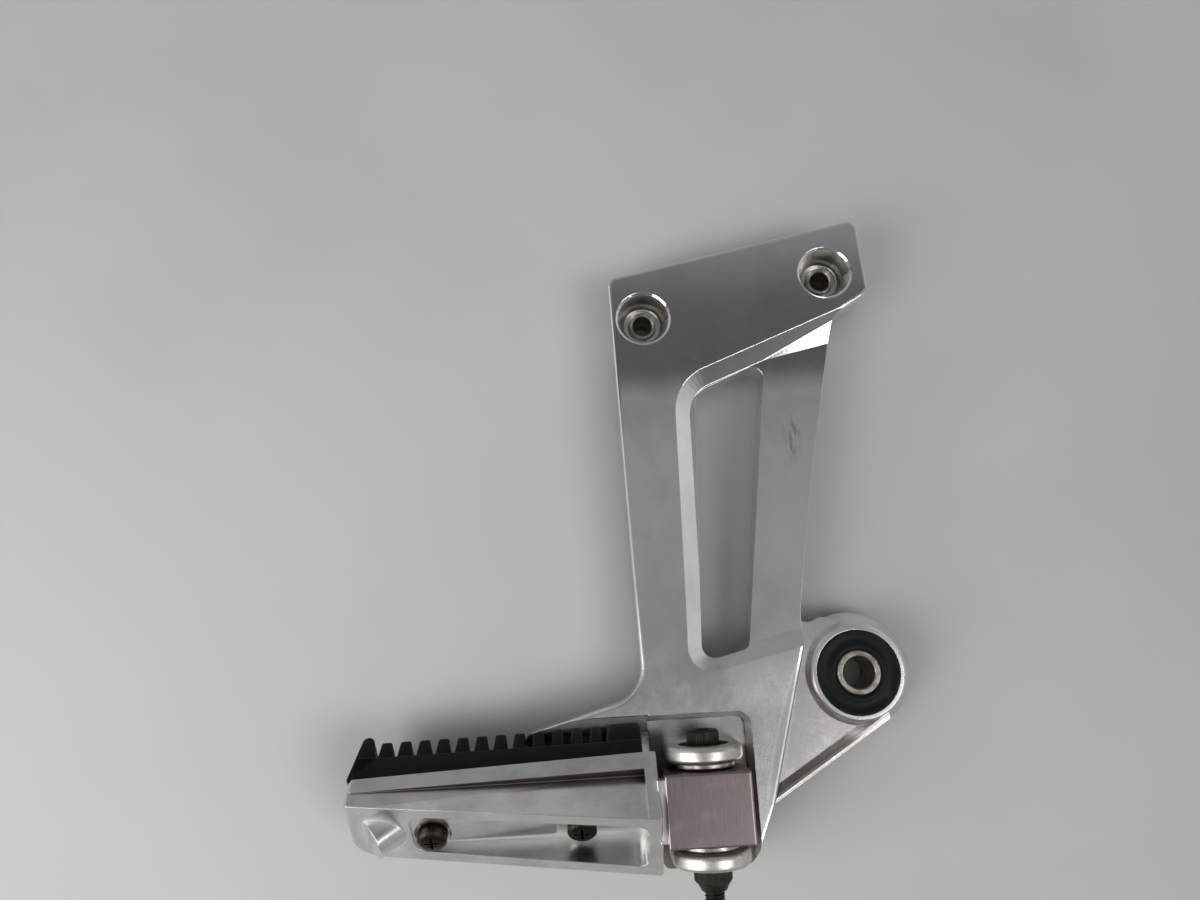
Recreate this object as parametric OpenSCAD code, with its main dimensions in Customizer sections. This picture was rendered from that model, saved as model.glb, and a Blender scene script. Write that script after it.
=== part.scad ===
// Folding motorcycle footpeg on its cast hanger bracket.
// The bracket lies on its back, polished face up. The origin is the axis of the
// left upper bolt at the back of its boss. +Y runs along the fold axis.

/* [Bracket face] */
// Height of the polished face above the back of the bosses
face_z = 28; // [26:0.5:31]
// Height of the bracket's rim above the back of the bosses
back_z = 9; // [7:0.5:11]
// Drop from the face to the right-hand member
member_drop = 5; // [4:0.5:6]
// Drop from the face to the web beside the damper ring
web_drop = 10; // [9:0.5:11]
// Width of the slope from the face down to the member
bevel_w = 7; // [6:0.5:8]
// Width of the slope from the face down to the web
web_bevel_w = 5.6; // [4.5:0.1:6.5]
// Radius of the bracket's upper outer edges
edge_r = 1.6; // [0.8:0.1:2]
// Width of the rim round the hollow back
rim_w = 5; // [4:0.5:6]
// Height of the hollow's roof above the back of the bosses
hollow_z = 16; // [13:0.5:17]
// Thickness of the ribs across the hollow
rib_t = 4; // [3:0.5:6]

/* [Upper bolt holes] */
// Distance from the left bolt to the right one along X
bolt_dx = 84.7; // [80:0.5:90]
// Rise from the left bolt to the right one along Y
bolt_dy = 17.3; // [15:0.5:20]
// Clear bore of each steel collar
collar_id = 9; // [8.4:0.1:9.6]
// Outer diameter of each steel collar
collar_od = 12.8; // [12:0.1:13.6]
// How far a collar stands out of the floor of its funnel
collar_proud = 1.2; // [0.6:0.1:2]
// Diameter of the funnel's mouth in the face
funnel_mouth = 23.7; // [22:0.1:25]
// Diameter of the funnel's floor
funnel_floor = 16.4; // [15:0.1:18]
// Depth of the funnel
funnel_depth = 11; // [9:0.5:12.5]
// Radius of the boss round each hole
boss_r = 13; // [12:0.5:14]

/* [Damper ring] */
// Distance from the left bolt to the ring's axis along X
ring_x = 81.2; // [79:0.5:84]
// Distance from the left bolt down to the ring's axis
ring_drop = 161.4; // [158:0.5:165]
// Outer radius of the ring at its foot
ring_foot_r = 25.6; // [24:0.2:27]
// Outer radius of the ring's flat top
ring_top_r = 19.3; // [18.8:0.1:20.5]
// Height of the ring's top
ring_z = 22; // [20:0.5:24]
// Outer diameter of the rubber damper
damper_od = 35.6; // [34:0.1:36.4]
// Outer diameter of the damper's steel sleeve
sleeve_od = 18.6; // [17:0.1:20]
// Bore of the damper's steel sleeve
sleeve_id = 13.4; // [12:0.1:14]
// How far the sleeve stands out of the ring at the top
sleeve_proud = 1.2; // [0.5:0.1:2]

/* [Fold hinge] */
// Distance from the left bolt to the fold axis along X
pivot_x = 11.2; // [9:0.5:13]
// Distance from the left bolt down to the middle of the hinge
pivot_drop = 207.2; // [204:0.5:212]
// Thickness of each hinge ear
ear_t = 6.4; // [5.5:0.1:7.5]
// Radius of each ear's round end
ear_r = 15.4; // [14.5:0.1:16]
// Height of the knuckle along the fold axis
knuckle_h = 27; // [25:0.5:30]
// Distance from the fold axis to the knuckle's stop face
knuckle_r = 16.2; // [15:0.1:16.5]
// Gap between the knuckle and the floor it stops on
stop_gap = 0.3; // [0.2:0.05:0.5]
// Thickness of each friction washer
washer_t = 2.5; // [2:0.1:3]
// Outer diameter of each friction washer
washer_od = 24; // [22:0.5:26]
// Gap between a washer and the turning knuckle
side_gap = 0.3; // [0.2:0.05:0.4]
// Depth of the round recess for the bolt's head
head_recess = 2.5; // [1.5:0.5:3]
// Diameter of the round recess for the bolt's head
head_recess_d = 20; // [18:0.5:22]
// Depth of the hinge pocket below the face
pocket_depth = 6.5; // [5.5:0.5:7.5]
// Length of the pocket above the upper ear
pocket_run = 11; // [9:0.5:13]

/* [Fold bolt] */
// Thread diameter of the fold bolt
bolt_d = 8; // [7.6:0.1:8.4]
// Diameter of the bolt's round head
head_d = 13; // [12:0.5:14]
// Height of the bolt's head
head_h = 8; // [7:0.5:9]
// Width across the flats of the bolt's hexagon socket
socket_af = 6; // [5:0.5:7]
// Width across the flats of the nut
nut_af = 13; // [12:0.5:14]
// Height of the nut's hexagon
nut_h = 6.6; // [6:0.2:8]
// Height of the nut's locking collar
nut_collar_h = 2.4; // [1.5:0.1:3]
// Length of thread standing out of the nut
thread_out = 4.5; // [2:0.5:7]
// Outer diameter of the collar the knuckle turns on
hub_od = 12; // [11:0.1:13]

/* [Peg casting] */
// Tilt of the tread about the peg's long axis
tread_tilt = 47; // [45:0.5:49]
// Distance from the fold axis to the peg's inner end
peg_root = 19.2; // [18.8:0.1:20]
// Distance from the fold axis to the peg's tip
peg_reach = 142; // [136:0.5:146]
// Height of the tread side above the axis at the inner end
seat_root = 14.4; // [14:0.1:15]
// Height of the tread side above the axis at the tip
seat_tip = 10.4; // [10:0.1:11]
// Depth of the underside below the axis at the inner end
belly_root = 17.6; // [17:0.1:18.5]
// Depth of the underside below the axis at the tip
belly_tip = 1.8; // [1.5:0.1:3]
// Front face's distance from the axis at the inner end
front_root = 15.2; // [14.5:0.1:15.6]
// Front face's distance from the axis at the tip
front_tip = 13.5; // [13:0.1:14.5]
// Rear face's distance from the axis at the inner end
rear_root = 18.7; // [18:0.1:19]
// Rear face's distance from the axis at the tip
rear_tip = 16; // [15.5:0.1:17]
// Height of the flat strip under the rubber on the front face
strip_h = 8.2; // [7:0.1:9]
// Depth of the step below that strip at the inner end
step_depth = 4.2; // [3:0.1:5]
// Width of the upright flange at the inner end of the front face
flange_w = 5.2; // [4:0.1:6]
// Wall round the pocket in the underside
belly_wall = 5; // [4:0.1:6]
// Depth of the underside pocket's floor below the axis
belly_floor = 1.5; // [1:0.1:2.5]
// Depth of the raised panel's surface below the axis
panel_drop = 4; // [3.5:0.1:5]

/* [Tread rubber] */
// Number of ribs across the tread
rib_count = 12; // [10:1:13]
// Distance from one rib to the next
rib_pitch = 7.87; // [7.7:0.01:8]
// Height of each rib
rib_h = 8.2; // [7:0.1:9]
// Width of each rib along its top
rib_top = 4.4; // [3.8:0.1:4.8]
// Width of each rib at its foot
rib_foot = 6; // [5.2:0.1:6.4]
// Height of the rib tops above the axis
tread_top = 29.4; // [28.6:0.1:29.8]
// Distance from the peg's inner end to the rubber
rubber_start = 5.2; // [4.4:0.1:6]
// Length of the solid block at the rubber's inner end
block_len = 13.6; // [12:0.1:14.5]
// Inset of the ribs' ends from the rubber's base
rib_inset = 0.9; // [0.5:0.1:1.5]
// How far the outer lip leans past the casting's tip
lip_out = 1.2; // [0.4:0.1:2]
// How far the outer lip stands above the ribs
lip_rise = 2.2; // [1.2:0.1:3]
// Thickness of the steel plate moulded in the rubber
insert_t = 2.4; // [2:0.1:3]

/* [Tread screws] */
// Thread diameter of the tread screws
screw_d = 6; // [5:0.5:6]
// Diameter of a screw's domed head
screw_head_d = 11.6; // [10.5:0.1:12.5]
// Height of a screw's domed head
screw_head_h = 5.6; // [4:0.1:6.5]
// Distance from the fold axis to the inner screw
screw_near = 50.1; // [48:0.1:54]
// Distance from the peg's tip back to the outer screw
screw_end = 33.3; // [31:0.1:36]
// Distance of both screws behind the axis, towards the rear face
screw_back = 3; // [1:0.5:4]
// Thickness of the spring washer under each head
lock_t = 1.6; // [1.2:0.1:2]

/* [Hidden] */
// Smoothness of turned surfaces
round_fn = 72;
// Steps in each rounded outline corner
arc_steps = 10;
// Overrun of a cutting shape past the surface it opens
over = 1;
// Clearance of a pressed part in its seat
press_gap = 0.02;
// Clearance of a turning or sliding fit
run_gap = 0.05;

member_z = face_z - member_drop;
web_z = face_z - web_drop;
floor_z = face_z - pocket_depth;
pivot_z = floor_z + stop_gap + knuckle_r;
pivot_y = -pivot_drop;
ear_gap = knuckle_h + 2 * (washer_t + side_gap);
ear_top_y = pivot_y + ear_gap / 2 + ear_t;
ear_low_y = pivot_y - ear_gap / 2 - ear_t;
collar_len = face_z - funnel_depth + collar_proud;
ring_y = -ring_drop;
sleeve_len = ring_z + sleeve_proud;
tip_x = -peg_reach;
root_x = -peg_root;
span_x = peg_reach - peg_root;
screw_seat = -belly_floor;
screw_at = [-screw_near, screw_end - peg_reach];
insert_y = seat_root + 2.6;

// Outlines as corner lists [x, y, radius], each listed anticlockwise

function turn(a, b) = a[0] * b[1] - a[1] * b[0];
function unit(v) = v / norm(v);
function xy(c) = [c[0], c[1]];
function outward(v) = [v[1], -v[0]];

// One corner of an outline moved inwards by d, with its radius kept concentric
function inset_corner(c, i, d) =
    let (n = len(c),
         p = xy(c[i]),
         e0 = unit(p - xy(c[(i + n - 1) % n])),
         e1 = unit(xy(c[(i + 1) % n]) - p),
         n0 = outward(e0),
         n1 = outward(e1),
         q = p - d * (n0 + n1) / (1 + n0 * n1),
         r = turn(e0, e1) > 0 ? c[i][2] - d : c[i][2] + d)
    [q[0], q[1], max(r, 0.2)];

function inset(c, d) = [for (i = [0 : len(c) - 1]) inset_corner(c, i, d)];

// Points of one rounded corner, from one tangent point to the other
function corner_arc(c, i) =
    let (n = len(c),
         p = xy(c[i]),
         e0 = unit(p - xy(c[(i + n - 1) % n])),
         e1 = unit(xy(c[(i + 1) % n]) - p),
         side = turn(e0, e1) > 0 ? 1 : -1,
         half = acos(e0 * e1) / 2,
         run = c[i][2] * tan(half),
         start = p - e0 * run,
         centre = start - side * outward(e0) * c[i][2],
         a0 = atan2(start[1] - centre[1], start[0] - centre[0]))
    [for (k = [0 : arc_steps])
        let (a = a0 + side * 2 * half * k / arc_steps)
        centre + c[i][2] * [cos(a), sin(a)]];

function outline(c) = [for (i = [0 : len(c) - 1]) for (p = corner_arc(c, i)) p];

// Solid skinned over rings of equal length, each given as [points, height]
module skin(rings) {
    n = len(rings[0][0]);
    top = len(rings) - 1;
    points = [for (r = rings) for (p = r[0]) [p[0], p[1], r[1]]];
    sides = [for (k = [0 : top - 1]) for (i = [0 : n - 1])
        [k * n + i, (k + 1) * n + i, (k + 1) * n + (i + 1) % n, k * n + (i + 1) % n]];
    polyhedron(points = points,
               faces = concat([[for (i = [0 : n - 1]) i]],
                              [[for (i = [n - 1 : -1 : 0]) top * n + i]], sides));
}

// Slab of an outline with a rounded upper edge, and a lower one if asked
module slab(c, z0, z1, r_top, r_low = 0) {
    turns = [0, 30, 60, 90];
    lower = r_low > 0
        ? [for (a = turns) [outline(inset(c, r_low * (1 - sin(a)))), z0 + r_low * (1 - cos(a))]]
        : [[outline(c), z0]];
    upper = [for (a = turns) [outline(inset(c, r_top * (1 - cos(a)))), z1 - r_top * (1 - sin(a))]];
    skin(concat(lower, upper));
}

// Cutter that rounds the upper edge of a plate: a closed sweep along its outline
module edge_cutter(c, z1, r) {
    n = len(outline(c));
    section = concat([[-over, z1 - r], [-over, z1 + over], [r, z1 + over]],
                     [for (a = [90, 60, 30, 0]) [r * (1 - cos(a)), z1 - r * (1 - sin(a))]]);
    m = len(section);
    polyhedron(points = [for (s = section) for (p = outline(inset(c, s[0]))) [p[0], p[1], s[1]]],
               faces = [for (k = [0 : m - 1]) for (i = [0 : n - 1])
                   let (up = (k + 1) % m, next = (i + 1) % n)
                   [k * n + i, up * n + i, up * n + next, k * n + next]]);
}

// Cutter for a sunk area with sloping walls, narrowing by w from z1 to z0
module sunk(c, z0, z1, w) {
    grow = w * over / (z1 - z0);
    skin([[outline(inset(c, w)), z0], [outline(inset(c, -grow)), z1 + over]]);
}

module tube(od, id, h) {
    difference() {
        cylinder(d = od, h = h, $fn = round_fn);
        translate([0, 0, -over]) cylinder(d = id, h = h + 2 * over, $fn = round_fn);
    }
}

// Turned part along the fold axis, its profile given as [radius, y] points
module turned_y(points) {
    rotate([-90, 0, 0]) rotate_extrude($fn = round_fn) polygon(points);
}

module at_pivot() {
    translate([pivot_x, pivot_y, pivot_z]) children();
}

// Local frame of the peg: x along the fold-away direction, y up out of the
// tread, z out of the front face
module peg_frame() {
    at_pivot() rotate([-tread_tilt, 0, 0]) children();
}

// Bracket

right_x = pivot_x - 18.2;
plate_corners = [
    [-15.2, 20.1, 4],
    [-11, -165.2, 16],
    [pivot_x - peg_reach / 2 - 2, -179, 4],
    [pivot_x - peg_reach / 2, -191, 4],
    [right_x, pivot_y + 12, 4],
    [right_x, ear_low_y - 4.4, 3],
    [pivot_x + 18.6, ear_low_y - 4.4, 4],
    [pivot_x + 28.6, pivot_y - 4.3, 6],
    [ring_x - 22.8, ring_y + 12.9, 10],
    [ring_x - 22.2, ring_y + 27.9, 16],
    [69.4, -77.6, 60],
    [bolt_dx + 1.8, bolt_dy - 20.8, 8],
    [bolt_dx + 19.2, bolt_dy - 10.3, 7],
    [bolt_dx + 17.2, bolt_dy + 25.9, 4.5]
];
member_corners = [
    [9, -159.2, 9],
    [130, -133.8, 9],
    [130, 15.6, 9],
    [11.6, -30.2, 22]
];
window_corners = [
    [15, -153.4, 5.5],
    [35.6, -148.6, 4.5],
    [54, -21.4, 5],
    [21.4, -35, 9]
];
web_corners = [
    [pivot_x + 28, pivot_y - 6.5, 1],
    [ring_x + 12.6, ring_y - 19.7, 1],
    [ring_x, ring_y + 21, 1],
    [ring_x - 13, ring_y + ring_foot_r - 1.4, 1],
    [ring_x - 19.5, ring_y + 21.4, 5],
    [ring_x - 26, ring_y + 27, 1],
    [ring_x - 28, ring_y + 10, 1]
];
// The web's lower edge, from the foot of the hinge to the ring
web_foot = [pivot_x + 29, pivot_y - 5.9];
web_head = [ring_x + 12.6, ring_y - 19.7];
// The line where the face begins to fall towards the web
brow_top = [ring_x - 27.6, ring_y + 9.4];
brow_low = [pivot_x + 22.6, pivot_y - 9.4];

module plain(c, z0, z1) {
    translate([0, 0, z0]) linear_extrude(z1 - z0) polygon(outline(c));
}

// Second, gentler slope below the member's first one, widening to the right
module lower_slope() {
    start = window_corners[2];
    tilt = 15;
    heading = 12;
    translate([start[0], start[1], member_z])
        rotate([tilt, 0, heading])
            translate([0, 0, -15])
                cube([60, 40, 15]);
}

// Slope beside the damper ring, cut along the brow line
module brow_cut() {
    run = brow_top - brow_low;
    slope = atan(web_drop / web_bevel_w);
    translate([brow_low[0], brow_low[1], face_z])
        rotate([0, 0, atan2(run[1], run[0])])
            rotate([-slope, 0, 0])
                translate([-30, -60, 0])
                    cube([30 + norm(run) + 8, 60, 30]);
}

module ring_body() {
    mid_z = (ring_z + back_z) / 2;
    rotate_extrude($fn = round_fn) polygon([
        [damper_od / 2 - 3, 0], [ring_foot_r - 1.5, 0], [ring_foot_r, 1.5], [ring_foot_r, back_z],
        [ring_foot_r - 1.3, mid_z - 2], [ring_foot_r - 2.9, mid_z + 1], [ring_top_r + 1.7, ring_z - 2.2],
        [ring_top_r + 0.9, ring_z - 0.7], [ring_top_r, ring_z], [damper_od / 2 - 3, ring_z]
    ]);
}

// Raised rim along the web's lower edge
module web_rim() {
    run = web_head - web_foot;
    web_h = web_z - back_z;
    rise = ring_z - web_z - 0.6;
    translate([web_foot[0], web_foot[1], back_z])
        rotate([0, 0, atan2(run[1], run[0])])
            rotate([90, 0, 90])
                linear_extrude(norm(run))
                    polygon([[0, 0], [6.4, 0], [6.4, web_h - rise / 2], [3.4, web_h + rise],
                             [2, web_h + rise], [0, web_h - 3]]);
}

// Hinge ear: a turned disc with a rounded rim, running down into the plate
module ear() {
    soft = 2;
    rim = [for (a = [0 : 22.5 : 90]) [ear_r - soft * (1 - sin(a)), soft * (1 - cos(a))]];
    half = concat(rim, [for (i = [len(rim) - 1 : -1 : 0]) [rim[i][0], ear_t - rim[i][1]]]);
    turned_y(concat([[0, 0]], half, [[0, ear_t]]));
    translate([0, 0, -knuckle_r - stop_gap - 6]) linear_extrude(knuckle_r + stop_gap + 6)
        polygon(concat(half, [for (i = [len(half) - 1 : -1 : 0]) [-half[i][0], half[i][1]]]));
}

// Hollow in the back, open downwards, with its bosses, walls and ribs left in
module back_hollow() {
    difference() {
        plain(inset(plate_corners, rim_w), back_z - over, hollow_z);
        for (p = [[0, 0], [bolt_dx, bolt_dy]])
            translate([p[0], p[1], 0]) cylinder(r = boss_r + 3, h = face_z, $fn = round_fn);
        plain(inset(window_corners, -rim_w), 0, face_z);
        translate([right_x - 60, ear_low_y - 20, 0]) cube([150, pivot_drop - ring_drop + 21, face_z]);
        for (s = [[[0, -20], 12], [[42, 8], -80], [[5, -80], 8], [[3, -130], -6], [[66, -62], 4], [[60, -112], 10]])
            translate([s[0][0], s[0][1], 0]) rotate([0, 0, s[1]])
                translate([-30, -rib_t / 2, 0]) cube([60, rib_t, face_z]);
    }
}

module bolt_funnel() {
    floor_h = face_z - funnel_depth;
    translate([0, 0, floor_h]) cylinder(d1 = funnel_floor, d2 = funnel_mouth, h = funnel_depth, $fn = round_fn);
    translate([0, 0, face_z - 0.7]) cylinder(d1 = funnel_mouth - 0.6, d2 = funnel_mouth + 4, h = 1.6, $fn = round_fn);
    translate([0, 0, floor_h - 1.6]) cylinder(d = funnel_floor - 0.9, h = 1.7, $fn = round_fn);
    translate([0, 0, -over]) cylinder(d = collar_od + 2 * press_gap, h = face_z, $fn = round_fn);
}

// Pocket the hinge stands in, open to the left
module hinge_pocket() {
    top_y = ear_top_y + pocket_run;
    corners = [
        [right_x - 12, ear_low_y - 12, 2.8],
        [pivot_x + 21.6, ear_low_y - 12, 2.8],
        [pivot_x + 21.6, top_y, 6],
        [right_x - 12, top_y, 2.8]
    ];
    difference() {
        sunk(corners, floor_z, face_z, 2.5);
        translate([right_x - 40, pivot_y + 13, floor_z - over]) cube([37, 40, face_z]);
    }
    translate([right_x - over, pivot_y + 9, floor_z]) cube([2 * over, 14, face_z]);
}

// Room for the folded tread under its own ribs
module tread_room() {
    peg_frame() translate([-peg_reach, -60, -70]) cube([peg_reach - peg_root - 1.4, 60 + tread_top + 1.2, 140]);
}

module bracket() {
    color("silver") difference() {
        union() {
            difference() {
                plain(plate_corners, back_z, face_z);
                edge_cutter(plate_corners, face_z, edge_r);
                difference() {
                    sunk(member_corners, member_z, face_z, bevel_w);
                    lower_slope();
                }
                brow_cut();
                back_hollow();
                hinge_pocket();
            }
            plain(web_corners, back_z, web_z);
            web_rim();
            translate([ring_x, ring_y, 0]) ring_body();
            for (p = [[0, 0], [bolt_dx, bolt_dy]])
                translate([p[0], p[1], 0]) cylinder(r = boss_r, h = back_z + over, $fn = round_fn);
            translate([right_x + 3, ear_low_y, 0]) cube([31, ear_top_y - ear_low_y, back_z + over]);
            at_pivot() translate([0, ear_gap / 2, 0]) ear();
            at_pivot() translate([0, -ear_gap / 2 - ear_t, 0]) ear();
        }
        plain(window_corners, -over, face_z + over);
        for (p = [[0, 0], [bolt_dx, bolt_dy]]) translate([p[0], p[1], 0]) bolt_funnel();
        translate([ring_x, ring_y, -over])
            cylinder(d = damper_od + 2 * press_gap, h = ring_z + 2 * over, $fn = round_fn);
        at_pivot() rotate([90, 0, 0])
            cylinder(d = bolt_d + 2 * run_gap, h = ear_gap + 4 * ear_t, center = true, $fn = round_fn);
        translate([pivot_x, ear_top_y - head_recess, pivot_z]) rotate([-90, 0, 0])
            cylinder(d = head_recess_d, h = head_recess + over, $fn = round_fn);
        tread_room();
    }
}

// Upper collars and damper

module bolt_collar() {
    lip = 0.7;
    rotate_extrude($fn = round_fn) polygon([
        [collar_id / 2, 0], [collar_od / 2 - 0.4, 0], [collar_od / 2, 0.4],
        [collar_od / 2, collar_len - lip], [collar_od / 2 - lip / 3, collar_len - lip / 3],
        [collar_od / 2 - lip, collar_len], [collar_id / 2 + lip, collar_len], [collar_id / 2, collar_len - lip]
    ]);
}

module collar_left() {
    color("lightgray") bolt_collar();
}

module collar_right() {
    color("lightgray") translate([bolt_dx, bolt_dy, 0]) bolt_collar();
}

module damper_rubber() {
    inner = sleeve_od / 2 + press_gap;
    outer = damper_od / 2;
    color("dimgray") translate([ring_x, ring_y, 0])
        rotate_extrude($fn = round_fn) polygon([
            [inner, 0.6], [outer - 0.8, 0.6], [outer, 1.4], [outer, ring_z + 0.2], [outer - 0.5, ring_z + 0.7],
            [inner + 0.8, ring_z + 0.5], [inner, ring_z + 0.1]
        ]);
}

module damper_sleeve() {
    cham = 0.5;
    color("lightgray") translate([ring_x, ring_y, 0])
        rotate_extrude($fn = round_fn) polygon([
            [sleeve_id / 2, cham], [sleeve_id / 2 + cham, 0], [sleeve_od / 2 - cham, 0], [sleeve_od / 2, cham],
            [sleeve_od / 2, sleeve_len - cham], [sleeve_od / 2 - cham, sleeve_len],
            [sleeve_id / 2 + cham, sleeve_len], [sleeve_id / 2, sleeve_len - cham]
        ]);
}

// Fold hinge hardware

module friction_washer() {
    soft = 0.6;
    inner = hub_od / 2 + run_gap;
    outer = washer_od / 2;
    turned_y([[inner, 0], [outer - soft, 0], [outer, soft], [outer, washer_t - soft],
              [outer - soft, washer_t], [inner, washer_t]]);
}

module washer_upper() {
    color("gray") at_pivot() translate([0, ear_gap / 2 - washer_t, 0]) friction_washer();
}

module washer_lower() {
    color("gray") at_pivot() translate([0, -ear_gap / 2, 0]) friction_washer();
}

module hub_collar() {
    color("lightgray") at_pivot() translate([0, ear_gap / 2, 0]) rotate([90, 0, 0])
        tube(hub_od, bolt_d + 2 * run_gap, ear_gap);
}

module fold_bolt() {
    under_y = ear_top_y - head_recess;
    shank = under_y - ear_low_y + nut_h + nut_collar_h + thread_out;
    soft = 0.6;
    color("darkslategray") translate([pivot_x, under_y, pivot_z]) difference() {
        turned_y([[0, -shank], [bolt_d / 2 - 0.8, -shank], [bolt_d / 2, 0.8 - shank], [bolt_d / 2, 0],
                  [head_d / 2 - 0.3, 0], [head_d / 2, 0.3], [head_d / 2, head_h - soft],
                  [head_d / 2 - soft, head_h], [0, head_h]]);
        rotate([-90, 0, 0]) translate([0, 0, head_h / 2])
            cylinder(d = socket_af / cos(30), h = head_h, $fn = 6);
    }
}

module fold_nut() {
    hex_r = nut_af / 2 / cos(30);
    top = nut_h + nut_collar_h;
    color("slategray") translate([pivot_x, ear_low_y, pivot_z]) rotate([90, 0, 0]) difference() {
        intersection() {
            union() {
                cylinder(r = hex_r, h = nut_h, $fn = 6);
                translate([0, 0, nut_h - 0.1]) cylinder(d1 = nut_af - 0.4, d2 = nut_af - 3, h = nut_collar_h + 0.1, $fn = round_fn);
            }
            rotate_extrude($fn = round_fn) polygon([
                [0, 0], [hex_r - 0.6, 0], [hex_r + 0.1, 0.6], [hex_r + 0.1, nut_h - 1.4],
                [nut_af / 2 - 0.4, nut_h + 0.2], [nut_af / 2 - 0.4, top], [0, top]
            ]);
        }
        translate([0, 0, -over]) cylinder(d = bolt_d + 2 * run_gap, h = top + 2 * over, $fn = round_fn);
    }
}

// Peg casting, in its own tilted frame

// Share of the way from the peg's inner end to its tip
function along(x) = (root_x - x) / span_x;
function seat_at(x) = seat_root + (seat_tip - seat_root) * along(x);
function belly_at(x) = -belly_root + (belly_root - belly_tip) * along(x);
function front_at(x) = front_root + (front_tip - front_root) * along(x);
function rear_at(x) = -rear_root + (rear_root - rear_tip) * along(x);

// Side view of the casting, and its view down onto the tread
side_corners = [
    [tip_x, belly_at(tip_x), 2.5],
    [root_x, belly_at(root_x), 1],
    [root_x, seat_at(root_x), 1],
    [tip_x, seat_at(tip_x), 0.6]
];
plan_corners = [
    [tip_x, rear_at(tip_x), 12],
    [root_x, rear_at(root_x), 1.2],
    [root_x, front_at(root_x), 0.8],
    [tip_x, front_at(tip_x), 2.4]
];

// Extrusion of a plan outline (x, z) between two heights y
module plan_extrude(c, y0, y1) {
    translate([0, y1, 0]) rotate([90, 0, 0]) linear_extrude(y1 - y0) polygon(outline(c));
}

module peg_wedge() {
    intersection() {
        translate([0, 0, -40]) linear_extrude(80) polygon(outline(side_corners));
        plan_extrude(plan_corners, -40, 40);
    }
}

// Step in the front face, deep at the inner end and fading towards the tip
module front_step() {
    near = root_x - flange_w;
    y_step = seat_root - strip_h;
    drop = y_step - belly_at(near);
    fade = y_step - belly_at(tip_x);
    rings = [
        [[y_step, front_at(near) + over], [y_step, front_at(near) - step_depth],
         [belly_at(near) - 2, front_at(near) + step_depth * 2 / drop], [belly_at(near) - 2, front_at(near) + over]],
        [[y_step - 2, front_at(tip_x) + over], [y_step - 2, front_at(tip_x) - 0.3],
         [belly_at(tip_x) - 2, front_at(tip_x) + 0.3 * 2 / fade], [belly_at(tip_x) - 2, front_at(tip_x) + over]]
    ];
    hull() {
        for (k = [0, 1])
            translate([k == 0 ? near : tip_x - over, 0, 0]) rotate([90, 0, 90])
                linear_extrude(0.01) polygon(rings[k]);
    }
}

// Pocket in the underside, with the raised panel left standing in it
module belly_pocket() {
    near = root_x - belly_wall;
    far = screw_at[1] - 8;
    pocket = [
        [far, rear_at(far) + belly_wall, 6],
        [near, rear_at(near) + belly_wall, 5],
        [near, front_at(near) - belly_wall, 5],
        [far, front_at(far) - belly_wall, 4]
    ];
    panel = [
        [screw_at[1] - 20, -7.6, 1],
        [-screw_near - 10, -7.6, 2],
        [-screw_near - 10, 30, 1],
        [screw_at[1] - 20, 30, 1]
    ];
    difference() {
        plan_extrude(pocket, -40, -belly_floor);
        difference() {
            plan_extrude(panel, -panel_drop, 0);
            for (x = screw_at)
                translate([x, 0, -screw_back]) rotate([90, 0, 0])
                    cylinder(d = screw_head_d + 3, h = 40, $fn = round_fn);
        }
    }
}

// Thick stub under the tip, leaning outwards, with a flat end
module tip_stub() {
    stub_r = 8;
    reach = 14;
    lean = 50;
    translate([tip_x + 9.5, -6, -2]) rotate([0, 0, -lean]) rotate([-90, 0, 0])
        cylinder(r = stub_r, h = reach, $fn = round_fn);
}

// Knuckle, joined to the peg by a neck that leaves a narrow groove round it
module knuckle() {
    groove = 2;
    lead = peg_root - groove;
    neck = knuckle_r - groove;
    corners = [
        [-lead, -knuckle_r, 0.5],
        [knuckle_r, -knuckle_r, knuckle_r - 0.05],
        [knuckle_r, knuckle_r, 1.2],
        [-lead, knuckle_r, 0.5]
    ];
    translate([0, knuckle_h / 2, 0]) rotate([90, 0, 0]) difference() {
        slab(corners, 0, knuckle_h, 0.8, 0.8);
        translate([0, 0, -over]) cylinder(d = hub_od + 2 * run_gap, h = knuckle_h + 2 * over, $fn = round_fn);
    }
    translate([-peg_root - over, groove - knuckle_h / 2, -neck])
        cube([over + 2 * groove, knuckle_h - 2 * groove, 2 * neck]);
}

module peg() {
    color("gainsboro") union() {
        at_pivot() knuckle();
        peg_frame() difference() {
            union() {
                difference() {
                    peg_wedge();
                    front_step();
                    belly_pocket();
                }
                tip_stub();
            }
            for (x = screw_at)
                translate([x, 0, -screw_back]) rotate([90, 0, 0])
                    cylinder(d = screw_d + 2 * run_gap, h = 80, center = true, $fn = round_fn);
        }
    }
}

// Tread rubber with its moulded-in plate

module rubber_base() {
    x0 = tip_x - lip_out + 2;
    x1 = root_x - rubber_start;
    side = [
        [x0 - 1.5, seat_at(x0), 0.4],
        [x1, seat_at(x1), 0.8],
        [x1, tread_top, 1.6],
        [x1 - block_len, tread_top, 0.8],
        [x1 - block_len - 1.2, tread_top - rib_h, 1.2],
        [x0, tread_top - rib_h, 1]
    ];
    plan = [
        [x0 - 1.5, rear_at(tip_x) - 0.2, 11],
        [x1, rear_at(x1) - 0.2, 2],
        [x1, front_at(x1) + 0.2, 2],
        [x0 - 1.5, front_at(tip_x) + 0.2, 2]
    ];
    intersection() {
        translate([0, 0, -40]) linear_extrude(80) polygon(outline(side));
        plan_extrude(plan, -40, 60);
    }
}

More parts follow.
